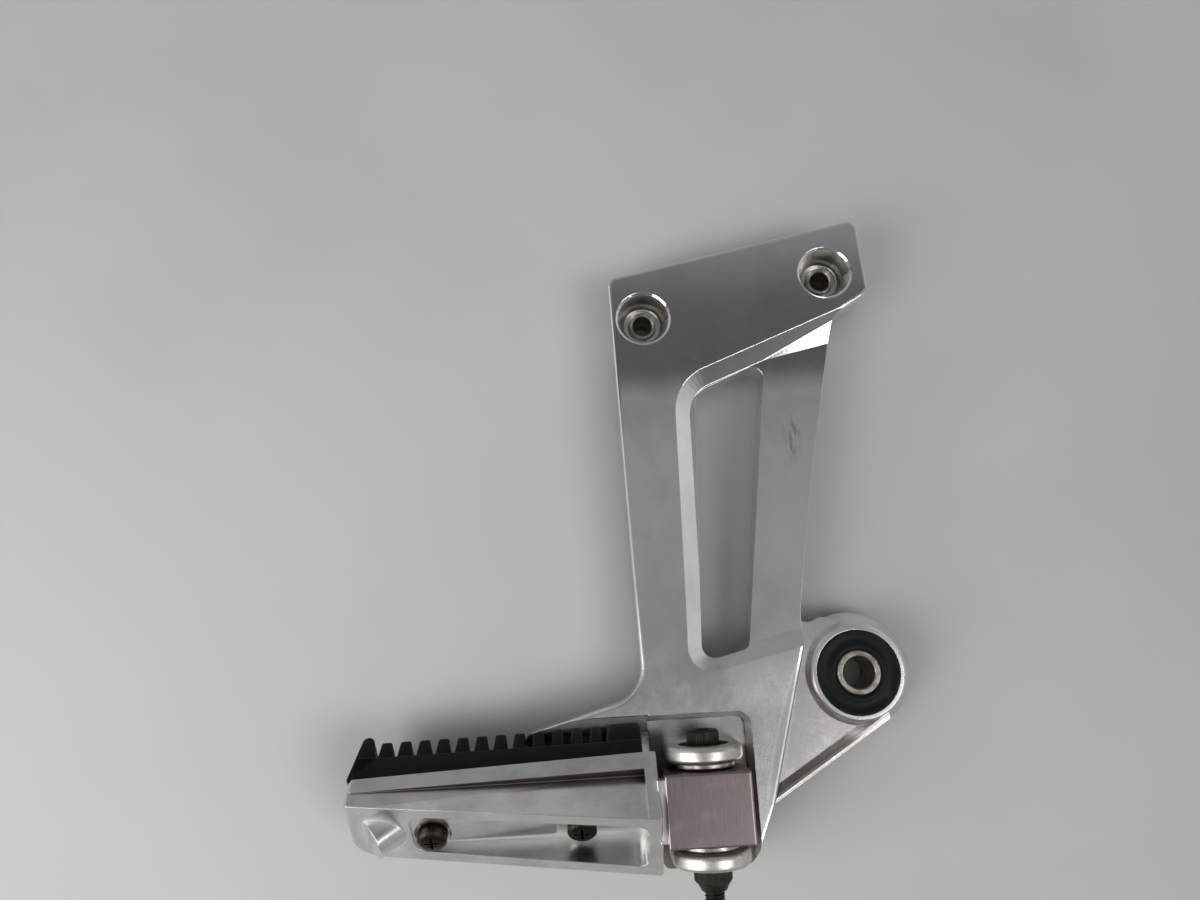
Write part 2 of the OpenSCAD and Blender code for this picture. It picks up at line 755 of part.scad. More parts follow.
module rib(i) {
    x = root_x - rubber_start - block_len - 4.9 - i * rib_pitch;
    base = tread_top - rib_h;
    z0 = rear_at(x) + rib_inset;
    z1 = front_at(x) - rib_inset;
    side = [
        [x - rib_foot / 2, base - 1.5, 0.2],
        [x + rib_foot / 2, base - 1.5, 0.2],
        [x + rib_foot / 2, base, 0.4],
        [x + rib_top / 2, tread_top, 1.6],
        [x - rib_top / 2, tread_top, 1.6],
        [x - rib_foot / 2, base, 0.4]
    ];
    translate([0, 0, z0]) linear_extrude(z1 - z0) polygon(outline(side));
}

// Raised lip round the outer end of the tread
module outer_lip() {
    x = tip_x - lip_out + 2;
    base = tread_top - rib_h;
    side = [
        [x - 1.5, seat_at(x), 0.3],
        [x + 8.4, base - 2, 0.5],
        [x + 8, base + 1, 2],
        [x + 6.6, tread_top + lip_rise, 2.3],
        [x + 1.6, tread_top + lip_rise, 2.3]
    ];
    intersection() {
        translate([0, 0, -40]) linear_extrude(80) polygon(outline(side));
        plan_extrude([
            [x - 1.5, rear_at(tip_x) - 0.2, 11],
            [x + 20, rear_at(x) - 0.2, 1],
            [x + 20, front_at(x) + 0.2, 1],
            [x - 1.5, front_at(tip_x) + 0.2, 2]
        ], -40, 60);
    }
}

module insert_shape(gap) {
    x0 = tip_x + 8;
    x1 = root_x - rubber_start - 4;
    plan = [
        [x0 - gap, rear_at(x0) + 4 - gap, 8 + gap],
        [x1 + gap, rear_at(x1) + 4 - gap, 4 + gap],
        [x1 + gap, front_at(x1) - 4 + gap, 4 + gap],
        [x0 - gap, front_at(x0) - 4 + gap, 4 + gap]
    ];
    plan_extrude(plan, insert_y - gap, insert_y + insert_t + gap);
    for (x = screw_at)
        translate([x, insert_y - gap, -screw_back]) rotate([-90, 0, 0])
            cylinder(d = screw_d + 4 + 2 * gap, h = insert_t + 3 + 2 * gap, $fn = round_fn);
}

module tread_rubber() {
    color("dimgray") peg_frame() difference() {
        union() {
            rubber_base();
            for (i = [0 : rib_count - 1]) rib(i);
            outer_lip();
        }
        insert_shape(press_gap);
        for (x = screw_at)
            translate([x, insert_y + 0.5, -screw_back]) rotate([90, 0, 0])
                cylinder(d = screw_d + 1, h = 40, $fn = round_fn);
    }
}

module tread_insert() {
    color("gray") peg_frame() difference() {
        insert_shape(0);
        for (x = screw_at)
            translate([x, insert_y - over, -screw_back]) rotate([-90, 0, 0])
                cylinder(d = screw_d + 2 * run_gap, h = over + insert_t + 2.4, $fn = round_fn);
    }
}

// Tread screws, driven from the underside

module tread_screw(x) {
    r = screw_head_d / 2;
    reach = insert_y + insert_t + 1.6 - screw_seat + lock_t;
    color("dimgray") peg_frame() translate([x, screw_seat - lock_t, -screw_back]) difference() {
        turned_y([[0, -screw_head_h], [r * 0.45, -screw_head_h], [r * 0.8, 0.5 - screw_head_h],
                  [r, 1.4 - screw_head_h], [r, 0], [screw_d / 2, 0], [screw_d / 2, reach - 0.6],
                  [screw_d / 2 - 0.6, reach], [0, reach]]);
        for (a = [0, 90])
            rotate([0, a, 0]) translate([-3.2, -screw_head_h - over, -0.55])
                cube([6.4, over + 2.2, 1.1]);
    }
}

module screw_inner() {
    tread_screw(screw_at[0]);
}

module screw_outer() {
    tread_screw(screw_at[1]);
}

// Split spring washer under a tread screw
module lock_washer(x) {
    color("gray") peg_frame() translate([x, screw_seat - lock_t, -screw_back]) difference() {
        rotate([-90, 0, 0]) tube(screw_head_d - 0.8, screw_d + 2 * run_gap, lock_t);
        rotate([0, 40, 0]) translate([0, -over, -0.5]) cube([screw_head_d, lock_t + 2 * over, 1]);
    }
}

module lock_washer_inner() {
    lock_washer(screw_at[0]);
}

module lock_washer_outer() {
    lock_washer(screw_at[1]);
}

bracket();
collar_left();
collar_right();
damper_rubber();
damper_sleeve();
washer_upper();
washer_lower();
hub_collar();
fold_bolt();
fold_nut();
peg();
tread_rubber();
tread_insert();
screw_inner();
screw_outer();
lock_washer_inner();
lock_washer_outer();
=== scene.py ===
"""Dresses the folding footpeg and its cast hanger bracket, and lights them on a pale bench.

Every length in a class is in millimetres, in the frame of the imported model, and
becomes metres where a mesh or a node takes it.
"""

import logging
import math
from dataclasses import dataclass, field
from enum import Enum
from typing import Optional, Sequence, Union

import bmesh
import bpy
from mathutils import Matrix, Vector

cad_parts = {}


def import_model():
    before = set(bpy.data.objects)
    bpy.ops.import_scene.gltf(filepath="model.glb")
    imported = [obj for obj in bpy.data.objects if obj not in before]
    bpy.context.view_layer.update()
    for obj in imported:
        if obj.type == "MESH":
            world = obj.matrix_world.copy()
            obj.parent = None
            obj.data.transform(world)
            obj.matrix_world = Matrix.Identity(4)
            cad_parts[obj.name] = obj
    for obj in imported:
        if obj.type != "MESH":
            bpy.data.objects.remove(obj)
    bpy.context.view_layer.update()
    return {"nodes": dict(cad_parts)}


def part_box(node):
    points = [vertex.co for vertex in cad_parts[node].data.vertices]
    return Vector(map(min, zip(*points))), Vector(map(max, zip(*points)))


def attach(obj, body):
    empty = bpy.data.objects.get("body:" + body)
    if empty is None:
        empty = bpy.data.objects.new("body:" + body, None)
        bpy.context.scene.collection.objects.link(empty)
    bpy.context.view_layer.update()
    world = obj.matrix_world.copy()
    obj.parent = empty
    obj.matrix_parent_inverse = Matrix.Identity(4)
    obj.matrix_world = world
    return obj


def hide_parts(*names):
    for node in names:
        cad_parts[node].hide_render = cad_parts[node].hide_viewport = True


log = logging.getLogger("footpeg")

MM = 0.001
WELD = 1e-7

Number = Union[int, float]
Triple = tuple[float, float, float]


class Slot(Enum):
    """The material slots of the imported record."""

    POLISHED = "polished_aluminium"
    PLATED = "plated_steel"
    WORN = "worn_steel"
    DARK = "dark_steel"
    TREAD = "tread_rubber"
    DAMPER = "damper_rubber"


class Body(Enum):
    """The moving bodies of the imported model."""

    HANGER = "hanger"
    FOOTPEG = "footpeg"


# ---------------------------------------------------------------- shader maths


class Signal:
    """A shader socket that takes part in Python arithmetic."""

    def __init__(self, sheet: "Sheet", socket: bpy.types.NodeSocket) -> None:
        """Wraps one output socket.

        Args:
            sheet: The node sheet that the socket is on.
            socket: The output socket.
        """
        self.sheet = sheet
        self.socket = socket

    def _math(self, operation: str, *others: "Operand", swap: bool = False) -> "Signal":
        """Adds one Math node.

        Args:
            operation: The node's operation.
            others: The other operands, in order.
            swap: True to put the first other operand before this one.

        Returns:
            The node's result.
        """
        row = [self, *others]
        if swap:
            row[0], row[1] = row[1], row[0]
        return self.sheet.add("ShaderNodeMath", {"operation": operation}, dict(enumerate(row)))

    def __add__(self, other: "Operand") -> "Signal":
        """Sum."""
        return self._math("ADD", other)

    def __radd__(self, other: Number) -> "Signal":
        """Sum with a number on the left."""
        return self._math("ADD", other, swap=True)

    def __sub__(self, other: "Operand") -> "Signal":
        """Difference."""
        return self._math("SUBTRACT", other)

    def __rsub__(self, other: Number) -> "Signal":
        """Difference from a number on the left."""
        return self._math("SUBTRACT", other, swap=True)

    def __mul__(self, other: "Operand") -> "Signal":
        """Product."""
        return self._math("MULTIPLY", other)

    def __rmul__(self, other: Number) -> "Signal":
        """Product with a number on the left."""
        return self._math("MULTIPLY", other, swap=True)

    def __truediv__(self, other: "Operand") -> "Signal":
        """Quotient."""
        return self._math("DIVIDE", other)

    def most(self, other: "Operand") -> "Signal":
        """The greater of the two."""
        return self._math("MAXIMUM", other)

    def least(self, other: "Operand") -> "Signal":
        """The lesser of the two."""
        return self._math("MINIMUM", other)

    def rise(self, low: float, high: float) -> "Signal":
        """Smooth step from 0 at low to 1 at high.

        Args:
            low: Value at which the step starts.
            high: Value at which the step ends.

        Returns:
            The stepped value.
        """
        return self.sheet.add(
            "ShaderNodeMapRange",
            {"interpolation_type": "SMOOTHSTEP", "clamp": True},
            {"Value": self, "From Min": low, "From Max": high, "To Min": 0.0, "To Max": 1.0},
        )

    def fall(self, low: float, high: float) -> "Signal":
        """Smooth step from 1 at low to 0 at high."""
        return 1 - self.rise(low, high)


Operand = Union[Signal, Number]
Colour = Union[Signal, Triple]


class Sheet:
    """A node tree, with one method that makes any node."""

    def __init__(self, tree: bpy.types.NodeTree) -> None:
        """Takes over an empty tree.

        Args:
            tree: The tree that gets the nodes.
        """
        self.tree = tree

    def add(self, kind: str, settings: Optional[dict] = None, inputs: Optional[dict] = None,
            output: Union[int, str] = 0) -> Signal:
        """Makes one node.

        Args:
            kind: The node's type.
            settings: Its properties, set first. "stops" gives a ramp's (place, colour) pairs.
            inputs: Values or signals by socket name or number.
            output: The socket to return.

        Returns:
            The chosen output.
        """
        node = self.tree.nodes.new(kind)
        for name, value in (settings or {}).items():
            if name == "stops":
                ramp = node.color_ramp
                while len(ramp.elements) < len(value):
                    ramp.elements.new(0.5)
                for element, (place, shade) in zip(ramp.elements, value):
                    element.position = place
                    element.color = (*shade, 1.0)
            else:
                setattr(node, name, value)
        for name, value in (inputs or {}).items():
            socket = node.inputs[name]
            if isinstance(value, Signal):
                self.tree.links.new(value.socket, socket)
            elif isinstance(value, (tuple, list)) and socket.type == "RGBA":
                socket.default_value = (*value, 1.0)
            else:
                socket.default_value = value
        return Signal(self, node.outputs[output])

    def place(self, turn: Triple = (0, 0, 0), scale: Triple = (1, 1, 1), shift: Triple = (0, 0, 0)) -> Signal:
        """Object coordinates, turned and stretched.

        Args:
            turn: Angles in degrees.
            scale: Factor along each of the turned axes.
            shift: Place of the pattern's centre, in millimetres.

        Returns:
            The vector.
        """
        where = self.add("ShaderNodeTexCoord", output="Object")
        offset = tuple(-s * MM for s in shift)
        moved = self.add("ShaderNodeVectorMath", {"operation": "ADD"}, {0: where, 1: offset})
        angles, sizes = tuple(math.radians(a) for a in turn), tuple(1 / s for s in scale)
        return self.add("ShaderNodeMapping", {"vector_type": "TEXTURE"},
                        {"Vector": moved, "Rotation": angles, "Scale": sizes})

    def noise(self, vector: Signal, scale: float, detail: float = 4, rough: float = 0.55) -> Signal:
        """Soft cloud noise between 0 and 1.

        Args:
            vector: Where it is read.
            scale: Features per metre.
            detail: Octaves.
            rough: Weight of the finer octaves.

        Returns:
            The noise.
        """
        return self.add("ShaderNodeTexNoise", {"noise_dimensions": "3D"}, {
            "Vector": vector, "Scale": scale, "Detail": detail, "Roughness": rough}, "Fac")

    def cells(self, vector: Signal, scale: float, feature: str = "F1") -> Signal:
        """Distance from the nearest of a field of random points.

        Args:
            vector: Where it is read.
            scale: Points per metre.
            feature: The distance that is returned.

        Returns:
            The distance.
        """
        return self.add("ShaderNodeTexVoronoi", {"feature": feature}, {
            "Vector": vector, "Scale": scale, "Randomness": 1.0}, "Distance")

    def blend(self, low: Colour, high: Colour, share: Operand) -> Signal:
        """A colour between two.

        Args:
            low: Colour at 0.
            high: Colour at 1.
            share: The share of the second.

        Returns:
            The colour.
        """
        return self.add("ShaderNodeMix", {"data_type": "RGBA", "clamp_factor": True},
                        {0: share, 6: low, 7: high}, 2)

    def axes(self, vector: Signal) -> tuple[Signal, Signal, Signal]:
        """The three parts of a vector.

        Args:
            vector: The vector.

        Returns:
            Its x, y and z.
        """
        first = self.add("ShaderNodeSeparateXYZ", None, {"Vector": vector}, "X")
        outs = first.socket.node.outputs
        return first, Signal(self, outs["Y"]), Signal(self, outs["Z"])

    def length(self, vector: Signal) -> Signal:
        """Length of a vector."""
        return self.add("ShaderNodeVectorMath", {"operation": "LENGTH"}, {0: vector}, "Value")

    def radius(self, centre: Triple, keep: Triple) -> Signal:
        """Distance from an axis of the frame.

        Args:
            centre: A point on the axis, in millimetres.
            keep: 1 for each direction that counts, 0 for the axis.

        Returns:
            The distance.
        """
        across = self.add("ShaderNodeVectorMath", {"operation": "MULTIPLY"}, {0: self.place(shift=centre), 1: keep})
        return self.length(across)

    def spot(self, centre: Triple, size: Triple, start: float, end: float, turn: Triple = (0, 0, 0)) -> Signal:
        """A soft patch.

        Args:
            centre: Its centre, in millimetres.
            size: Its half length along each axis, in millimetres.
            start: Share of the size at which it starts to fade.
            end: Share of the size at which it has gone.
            turn: Its angles, in degrees.

        Returns:
            1 in the middle, 0 outside.
        """
        return self.length(self.place(turn, tuple(1 / (s * MM) for s in size), centre)).fall(start, end)

    def soft_normal(self, radius: float) -> Signal:
        """Normal with each edge rounded over a radius in millimetres."""
        return self.add("ShaderNodeBevel", {"samples": 6}, {"Radius": radius * MM})

    def edge(self, soft: Signal) -> Signal:
        """How near a point is to an edge, from 0 to about 1.

        Args:
            soft: The rounded normal.

        Returns:
            The nearness.
        """
        hard = self.add("ShaderNodeNewGeometry", output="True Normal")
        dot = self.add("ShaderNodeVectorMath", {"operation": "DOT_PRODUCT"}, {0: soft, 1: hard}, "Value")
        return (1 - dot).rise(0.01, 0.22)

    def crevice(self, reach: float) -> Signal:
        """How far a point is shut in by the piece itself, from 0 to 1.

        Args:
            reach: Distance looked over, in millimetres.

        Returns:
            The share that is shut in.
        """
        open_share = self.add("ShaderNodeAmbientOcclusion", {"samples": 6, "only_local": True},
                              {"Distance": reach * MM}, "AO")
        return 1 - open_share

    def bump(self, height: Operand, depth: float, normal: Optional[Signal] = None) -> Signal:
        """Bumped normal.

        Args:
            height: Height from 0 to 1.
            depth: What 1 stands for, in millimetres.
            normal: The normal it starts from.

        Returns:
            The normal.
        """
        inputs = {"Height": height, "Distance": depth * MM, "Strength": 1.0}
        if normal is not None:
            inputs["Normal"] = normal
        return self.add("ShaderNodeBump", None, inputs)

    def streaks(self, turn: float, length: float, width: float, tilt: float = 0.0) -> Signal:
        """Fine straight scratches.

        Args:
            turn: Their direction in the face, in degrees from X.
            length: Length of one, in millimetres.
            width: Width of one, in millimetres.
            tilt: Turn of the face about X, in degrees.

        Returns:
            Values from 0 to 1.
        """
        across = 1 / (width * MM)
        vector = self.place((tilt, 0, turn), (1 / (length * MM), across, across))
        return self.noise(vector, 1.0, 3, 0.6)


# -------------------------------------------------------------------- finishes


@dataclass(frozen=True)
class Finish:
    """Base of the finishes. Each one makes its material once."""

    name: str = "finish"

    def material(self) -> bpy.types.Material:
        """Makes or finds the material.

        Returns:
            The material.
        """
        found = bpy.data.materials.get(self.name)
        if found is not None:
            return found
        made = bpy.data.materials.new(self.name)
        made.use_nodes = True
        made.node_tree.nodes.clear()
        sheet = Sheet(made.node_tree)
        surface = sheet.add("ShaderNodeBsdfPrincipled", None, self.sockets(sheet))
        self._finish(sheet, surface)
        return made

    @staticmethod
    def _finish(sheet: Sheet, surface: Signal) -> None:
        """Links the surface to the material's output.

        Args:
            sheet: The material's sheet.
            surface: The shader.
        """
        end = sheet.tree.nodes.new("ShaderNodeOutputMaterial")
        sheet.tree.links.new(surface.socket, end.inputs["Surface"])

    def sockets(self, sheet: Sheet) -> dict:
        """Values and signals for the shader's sockets.

        Args:
            sheet: The material's sheet.

        Returns:
            The sockets by name.
        """
        raise NotImplementedError


@dataclass(frozen=True)
class PolishedCasting(Finish):
    """Hand polished aluminium in front, left as cast behind."""

    name: str = "hand_polished_aluminium"
    metal: Triple = (0.785, 0.785, 0.78)
    dulled: Triple = (0.63, 0.635, 0.64)
    cast: Triple = (0.4, 0.4, 0.39)
    dirt_and_shade: Triple = (0.13, 0.11, 0.09)
    smudge_and_shade: Triple = (0.3, 0.3, 0.3)
    mauve: Triple = (0.55, 0.49, 0.49)
    handled: Triple = (0.52, 0.48, 0.42)
    stain: Triple = (0.5, 0.47, 0.41)
    bright: Triple = (0.84, 0.84, 0.84)
    polish: float = 0.04
    bump_mm: float = 0.012
    funnels: tuple[tuple[float, float], ...] = ((0.0, 0.0), (84.7, 17.3))
    funnel_r: float = 11.75
    back_z: float = 9.0
    face_z: float = 28.0
    mirror_y: float = -40.0
    pivot: Triple = (11.2, -185.8, 38.0)
    recess_r: float = 10.0
    pocket_z: float = 21.5
    rub: Triple = (63.0, -58.0, 23.0)
    rub_size: Triple = (5.0, 13.0, 8.0)
    hinge_y: float = -150.0
    brow_shade: Triple = (46.4, -185.1, 23.0)
    brow_turn: float = 73.0
    brow_size: Triple = (42.0, 5.0, 10.0)

    def hinge_shade(self, sheet: Sheet, where: Signal) -> Signal:
        """Painted shade in the bolt's recess and on the floor of the hinge pocket.

        Args:
            sheet: The material's sheet.
            where: Place of the point.

        Returns:
            1 where the painted shade is, 0 elsewhere.
        """
        x, y, z = sheet.axes(where)
        radius = sheet.radius(self.pivot, (1.0, 0.0, 1.0))
        depth = y.rise((self.pivot[1] - 1.4) * MM, (self.pivot[1] - 1.1) * MM)
        depth = depth * z.rise((self.face_z + 0.4) * MM, (self.face_z + 0.8) * MM)
        recess = radius.fall((self.recess_r + 0.02) * MM, (self.recess_r + 0.2) * MM) * depth
        floor = z.fall((self.pocket_z + 0.3) * MM, (self.pocket_z + 1.2) * MM)
        floor = floor * z.rise((self.pocket_z - 0.4) * MM, (self.pocket_z - 0.2) * MM)
        beside = y.fall((self.pivot[1] + 2) * MM, (self.pivot[1] + 12) * MM) * x.fall(-5 * MM, 0.0)
        floor = floor * y.fall((self.pivot[1] - 4) * MM, (self.pivot[1] + 1) * MM).most(beside)
        return recess.most(floor)

    def pocket_wall(self, sheet: Sheet, where: Signal) -> Signal:
        """The satin wall of the hinge pocket, lightened by a painted highlight.

        Args:
            sheet: The material's sheet.
            where: Place of the point.

        Returns:
            1 on the wall, 0 elsewhere.
        """
        x, y, z = sheet.axes(where)
        high = z.rise((self.pocket_z + 0.8) * MM, (self.pocket_z + 1.6) * MM)
        high = high * z.fall((self.face_z - 0.5) * MM, (self.face_z - 0.05) * MM)
        near = y.rise((self.pivot[1] - 50) * MM, (self.pivot[1] - 40) * MM) * x.fall(34 * MM, 36 * MM)
        return high * near * y.fall((self.pivot[1] + 16) * MM, (self.pivot[1] + 18) * MM)

    def funnel(self, sheet: Sheet, z: Signal) -> Signal:
        """The walls of the two bolt funnels.

        Args:
            sheet: The material's sheet.
            z: Height of the point.

        Returns:
            1 inside a funnel, 0 outside.
        """
        inside: Operand = 0.0
        for cx, cy in self.funnels:
            radius = sheet.radius((cx, cy, 0), (1.0, 1.0, 0.0))
            inside = radius.fall(self.funnel_r * MM, (self.funnel_r + 0.5) * MM) + inside
        return inside * z.fall((self.face_z - 0.9) * MM, (self.face_z - 0.2) * MM)

    def sockets(self, sheet: Sheet) -> dict:
        """Polished face, satin lower parts, stained funnels and a cast back, with painted shade in crevices, the
        hinge pocket and on the brow slope, and a painted highlight on the pocket's wall.

        Args:
            sheet: The material's sheet.

        Returns:
            The sockets by name.
        """
        where = sheet.place()
        _, y, z = sheet.axes(where)
        facing = sheet.axes(sheet.add("ShaderNodeNewGeometry", output="Normal"))[2]
        soft = sheet.soft_normal(0.4)
        edge = sheet.edge(soft)
        shut = sheet.crevice(5)
        cloud = sheet.noise(where, 30, 5, 0.6)
        haze = sheet.noise(sheet.place((0, 0, 14), (1, 0.5, 1)), 75, 6, 0.6).rise(0.42, 0.74)
        brushed = sheet.streaks(83, 30, 0.18)
        crossed = sheet.streaks(28, 16, 0.12)
        marks = sheet.streaks(-38, 9, 0.13).rise(0.66, 0.73)
        nicks = sheet.cells(sheet.place((0, 0, -24), (0.4, 1, 1)), 300).fall(0.03, 0.06)
        speck = sheet.cells(where, 560).fall(0.06, 0.15)
        sand = sheet.noise(where, 620, 4, 0.7)
        worn = y.fall((self.hinge_y - 14) * MM, (self.hinge_y + 16) * MM)
        ears = z.rise((self.face_z + 0.3) * MM, (self.face_z + 1.2) * MM)
        rub = sheet.spot(self.rub, self.rub_size, 0.35, 1.0)
        rub = rub * sheet.noise(sheet.place((0, 0, 4), (1, 0.25, 1)), 420, 4, 0.7).rise(0.38, 0.6)
        mirror = (y + (cloud - 0.5) * 0.014).rise((self.mirror_y - 4) * MM, (self.mirror_y + 4) * MM)
        cast = z.fall((self.back_z - 0.2) * MM, (self.back_z + 0.4) * MM).most(facing.fall(-0.6, -0.3))
        grain = sheet.noise(where, 900, 3, 0.7)
        stained = self.funnel(sheet, z)
        hinge_shade_mask = self.hinge_shade(sheet, where)
        wall = self.pocket_wall(sheet, where)
        shut = shut * (1 - wall * 0.85)
        tone = sheet.blend(self.metal, self.dulled, cloud.rise(0.4, 0.7) * 0.5 + haze * 0.3)
        tinted = worn * cloud.rise(0.44, 0.6) * 0.55 + worn * sand.rise(0.5, 0.7) * 0.4
        tone = sheet.blend(tone, self.mauve, tinted)
        tone = sheet.blend(tone, self.handled, ears * (0.45 + sand.rise(0.45, 0.7) * 0.5))
        tone = sheet.blend(tone, self.smudge_and_shade, rub * 0.8)
        tone = sheet.blend(tone, self.stain, stained * cloud.rise(0.36, 0.66) * 0.5)
        tone = sheet.blend(tone, self.dirt_and_shade, (speck * worn * 0.55 + nicks * worn * 0.5).least(0.8))
        # Painted shade: the steep brow slope between the face and the web is darkened towards the grey.
        brow_shade = sheet.spot(self.brow_shade, self.brow_size, 0.7, 1.0, (0, 0, self.brow_turn))
        tone = sheet.blend(tone, self.smudge_and_shade, brow_shade * (0.55 + sand * 0.4))
        tone = sheet.blend(tone, self.cast, cast)
        # Painted shade: crevices, the bolt's recess and the hinge pocket's floor darken towards the dark colour.
        tone = sheet.blend(tone, self.dirt_and_shade, (shut.rise(0.4, 0.85) * 0.6 + hinge_shade_mask * 0.9).least(0.95))
        # Painted highlight: the hinge pocket's wall is lightened towards the bright colour; edges are worn bright.
        tone = sheet.blend(tone, self.bright, edge * (1 - cast) * 0.15 + wall * 0.7)
        rough = (self.polish + (1 - mirror) * 0.11 + haze * 0.05 * (1 - mirror * 0.7) + worn * (0.05 + sand * 0.1)
                 + (brushed - 0.5) * 0.05 + marks * 0.04 + shut.rise(0.4, 0.9) * 0.2 + ears * 0.1)
        rough = rough * (1 - cast) + cast * (0.5 + grain * 0.16)
        rough = (rough + stained * 0.2 + hinge_shade_mask * 0.3 + wall * 0.22 + brow_shade * 0.18).least(0.9)
        height = brushed * 0.3 + crossed * 0.16 - marks * 0.15 - nicks * worn - speck * worn
        height = height + sand * (worn + ears) * 1.1
        height = height * (1 - cast) + grain * cast * 6
        return {
            "Base Color": tone,
            "Metallic": 1.0,
            "Roughness": rough,
            "Normal": sheet.bump(height, self.bump_mm, soft),
        }


@dataclass(frozen=True)
class PegCasting(Finish):
    """Ground and polished aluminium of the peg, with a mauve cast in its tone."""

    name: str = "ground_peg_aluminium"
    metal: Triple = (0.7, 0.698, 0.69)
    shade: Triple = (0.5, 0.49, 0.48)
    mauve: Triple = (0.24, 0.19, 0.187)
    dirt_and_shade: Triple = (0.07, 0.058, 0.047)
    dull: Triple = (0.4, 0.37, 0.36)
    as_cast: Triple = (0.7, 0.69, 0.67)
    bright: Triple = (0.86, 0.85, 0.84)
    ground_rough: float = 0.17
    bump_mm: float = 0.016
    tilt: float = 47.0
    hub_x: float = -6.0
    pivot: Triple = (11.2, -207.2, 38.0)

    def belly(self, sheet: Sheet) -> Signal:
        """The hollow underside.

        Args:
            sheet: The material's sheet.

        Returns:
            1 below the peg's middle, 0 above it.
        """
        _, y, z = sheet.axes(sheet.place(shift=self.pivot))
        across = y * math.cos(math.radians(self.tilt)) - z * math.sin(math.radians(self.tilt))
        return across.fall(0.5 * MM, 3.0 * MM)

    def sockets(self, sheet: Sheet) -> dict:
        """Lengthwise grinding marks, duller hollows, painted shade and a painted mauve reflection in the crevices,
        and bright edges.

        Args:
            sheet: The material's sheet.

        Returns:
            The sockets by name.
        """
        where = sheet.place()
        x, _, _ = sheet.axes(where)
        soft = sheet.soft_normal(0.55)
        edge = sheet.edge(soft)
        shut = sheet.crevice(7)
        cloud = sheet.noise(where, 45, 5, 0.6)
        patch = sheet.noise(sheet.place((0, 0, 12), (0.5, 1, 1)), 160, 5, 0.7)
        lengthwise = sheet.streaks(0, 26, 0.16, self.tilt)
        upright = sheet.streaks(90, 12, 0.2)
        marks = sheet.streaks(35, 7, 0.13).rise(0.66, 0.74)
        speck = sheet.cells(where, 480).fall(0.05, 0.14)
        hub = x.rise((self.hub_x - 0.6) * MM, (self.hub_x + 0.6) * MM)
        ground = lengthwise * (1 - hub) + upright * hub
        grain = sheet.noise(where, 1100, 3, 0.75)
        tone = sheet.blend(self.metal, self.shade, cloud.rise(0.4, 0.66) * 0.6)
        tone = sheet.blend(tone, self.mauve, hub * (0.48 + upright * 0.9))
        tone = sheet.blend(tone, self.dull, patch.rise(0.52, 0.76) * 0.4)
        belly = self.belly(sheet) * (1 - hub)
        hollow = belly * shut.rise(0.08, 0.3)
        # Painted shade with a painted mauve reflection: crevices and the step wall of the upper side darken towards
        # the mauve.
        tone = sheet.blend(tone, self.mauve, shut.rise(0.06, 0.24) * (1 - hub) * (1 - belly) * 0.75)
        tone = sheet.blend(tone, self.as_cast, hollow * (0.5 + grain * 0.5))
        # Painted shade: crevices darken towards the dark colour, in the belly only the deepest; the specks are dirt.
        crevice_shade = shut.rise(0.24, 0.56) * (1 - belly) + shut.rise(0.6, 0.9) * belly
        tone = sheet.blend(tone, self.dirt_and_shade, (crevice_shade * (0.5 + patch * 0.7) + speck * 0.3).least(0.92))
        tone = sheet.blend(tone, self.bright, edge * (1 - hub * 0.7) * 0.28)
        rough = (self.ground_rough + (ground - 0.5) * 0.16 + cloud * 0.1 + marks * 0.1
                 + shut.rise(0.25, 0.7) * 0.25 + hub * 0.1)
        height = ground * 0.6 - marks * 0.5 - speck * 0.8 + grain * shut.rise(0.2, 0.7) * 1.8
        return {
            "Base Color": tone,
            "Metallic": 1 - hollow * 0.55,
            "Roughness": rough,
            "Normal": sheet.bump(height, self.bump_mm, soft),
        }


@dataclass(frozen=True)
class Steel(Finish):
    """Turned or stamped steel, plated, plain or blackened."""

    name: str = "zinc_plated_steel"
    metal: Triple = (0.66, 0.65, 0.62)
    # stain also colours the painted shade in crevices and bores.
    stain: Triple = (0.42, 0.36, 0.27)
    wear: Triple = (0.8, 0.79, 0.77)
    base_rough: float = 0.28
    stain_share: float = 0.5
    wear_share: float = 0.4
    metallic: float = 1.0
    round_mm: float = 0.35

    def sockets(self, sheet: Sheet) -> dict:
        """Stained metal, worn bright along its edges, with painted shade in its crevices and bores.

        Args:
            sheet: The material's sheet.

        Returns:
            The sockets by name.
        """
        where = sheet.place()
        soft = sheet.soft_normal(self.round_mm)
        edge = sheet.edge(soft)
        shut = sheet.crevice(2.5)
        cloud = sheet.noise(where, 190, 5, 0.65)
        speck = sheet.noise(where, 1500, 3, 0.6)
        pits = sheet.cells(where, 1400).fall(0.12, 0.3)
        dull = cloud.rise(0.42, 0.66)
        tone = sheet.blend(self.metal, self.stain, dull * self.stain_share)
        # Painted shade: crevices and bores darken towards the stain colour.
        tone = sheet.blend(tone, self.stain, shut.rise(0.2, 0.8) * 0.85)
        tone = sheet.blend(tone, self.wear, edge * self.wear_share)
        rough = self.base_rough + dull * 0.18 + (speck - 0.5) * 0.14 + shut.rise(0.3, 0.9) * 0.15
        return {
            "Base Color": tone,
            "Metallic": self.metallic,
            "Roughness": rough,
            "Normal": sheet.bump(speck * 0.5 - pits * 0.6, 0.02, soft),
        }


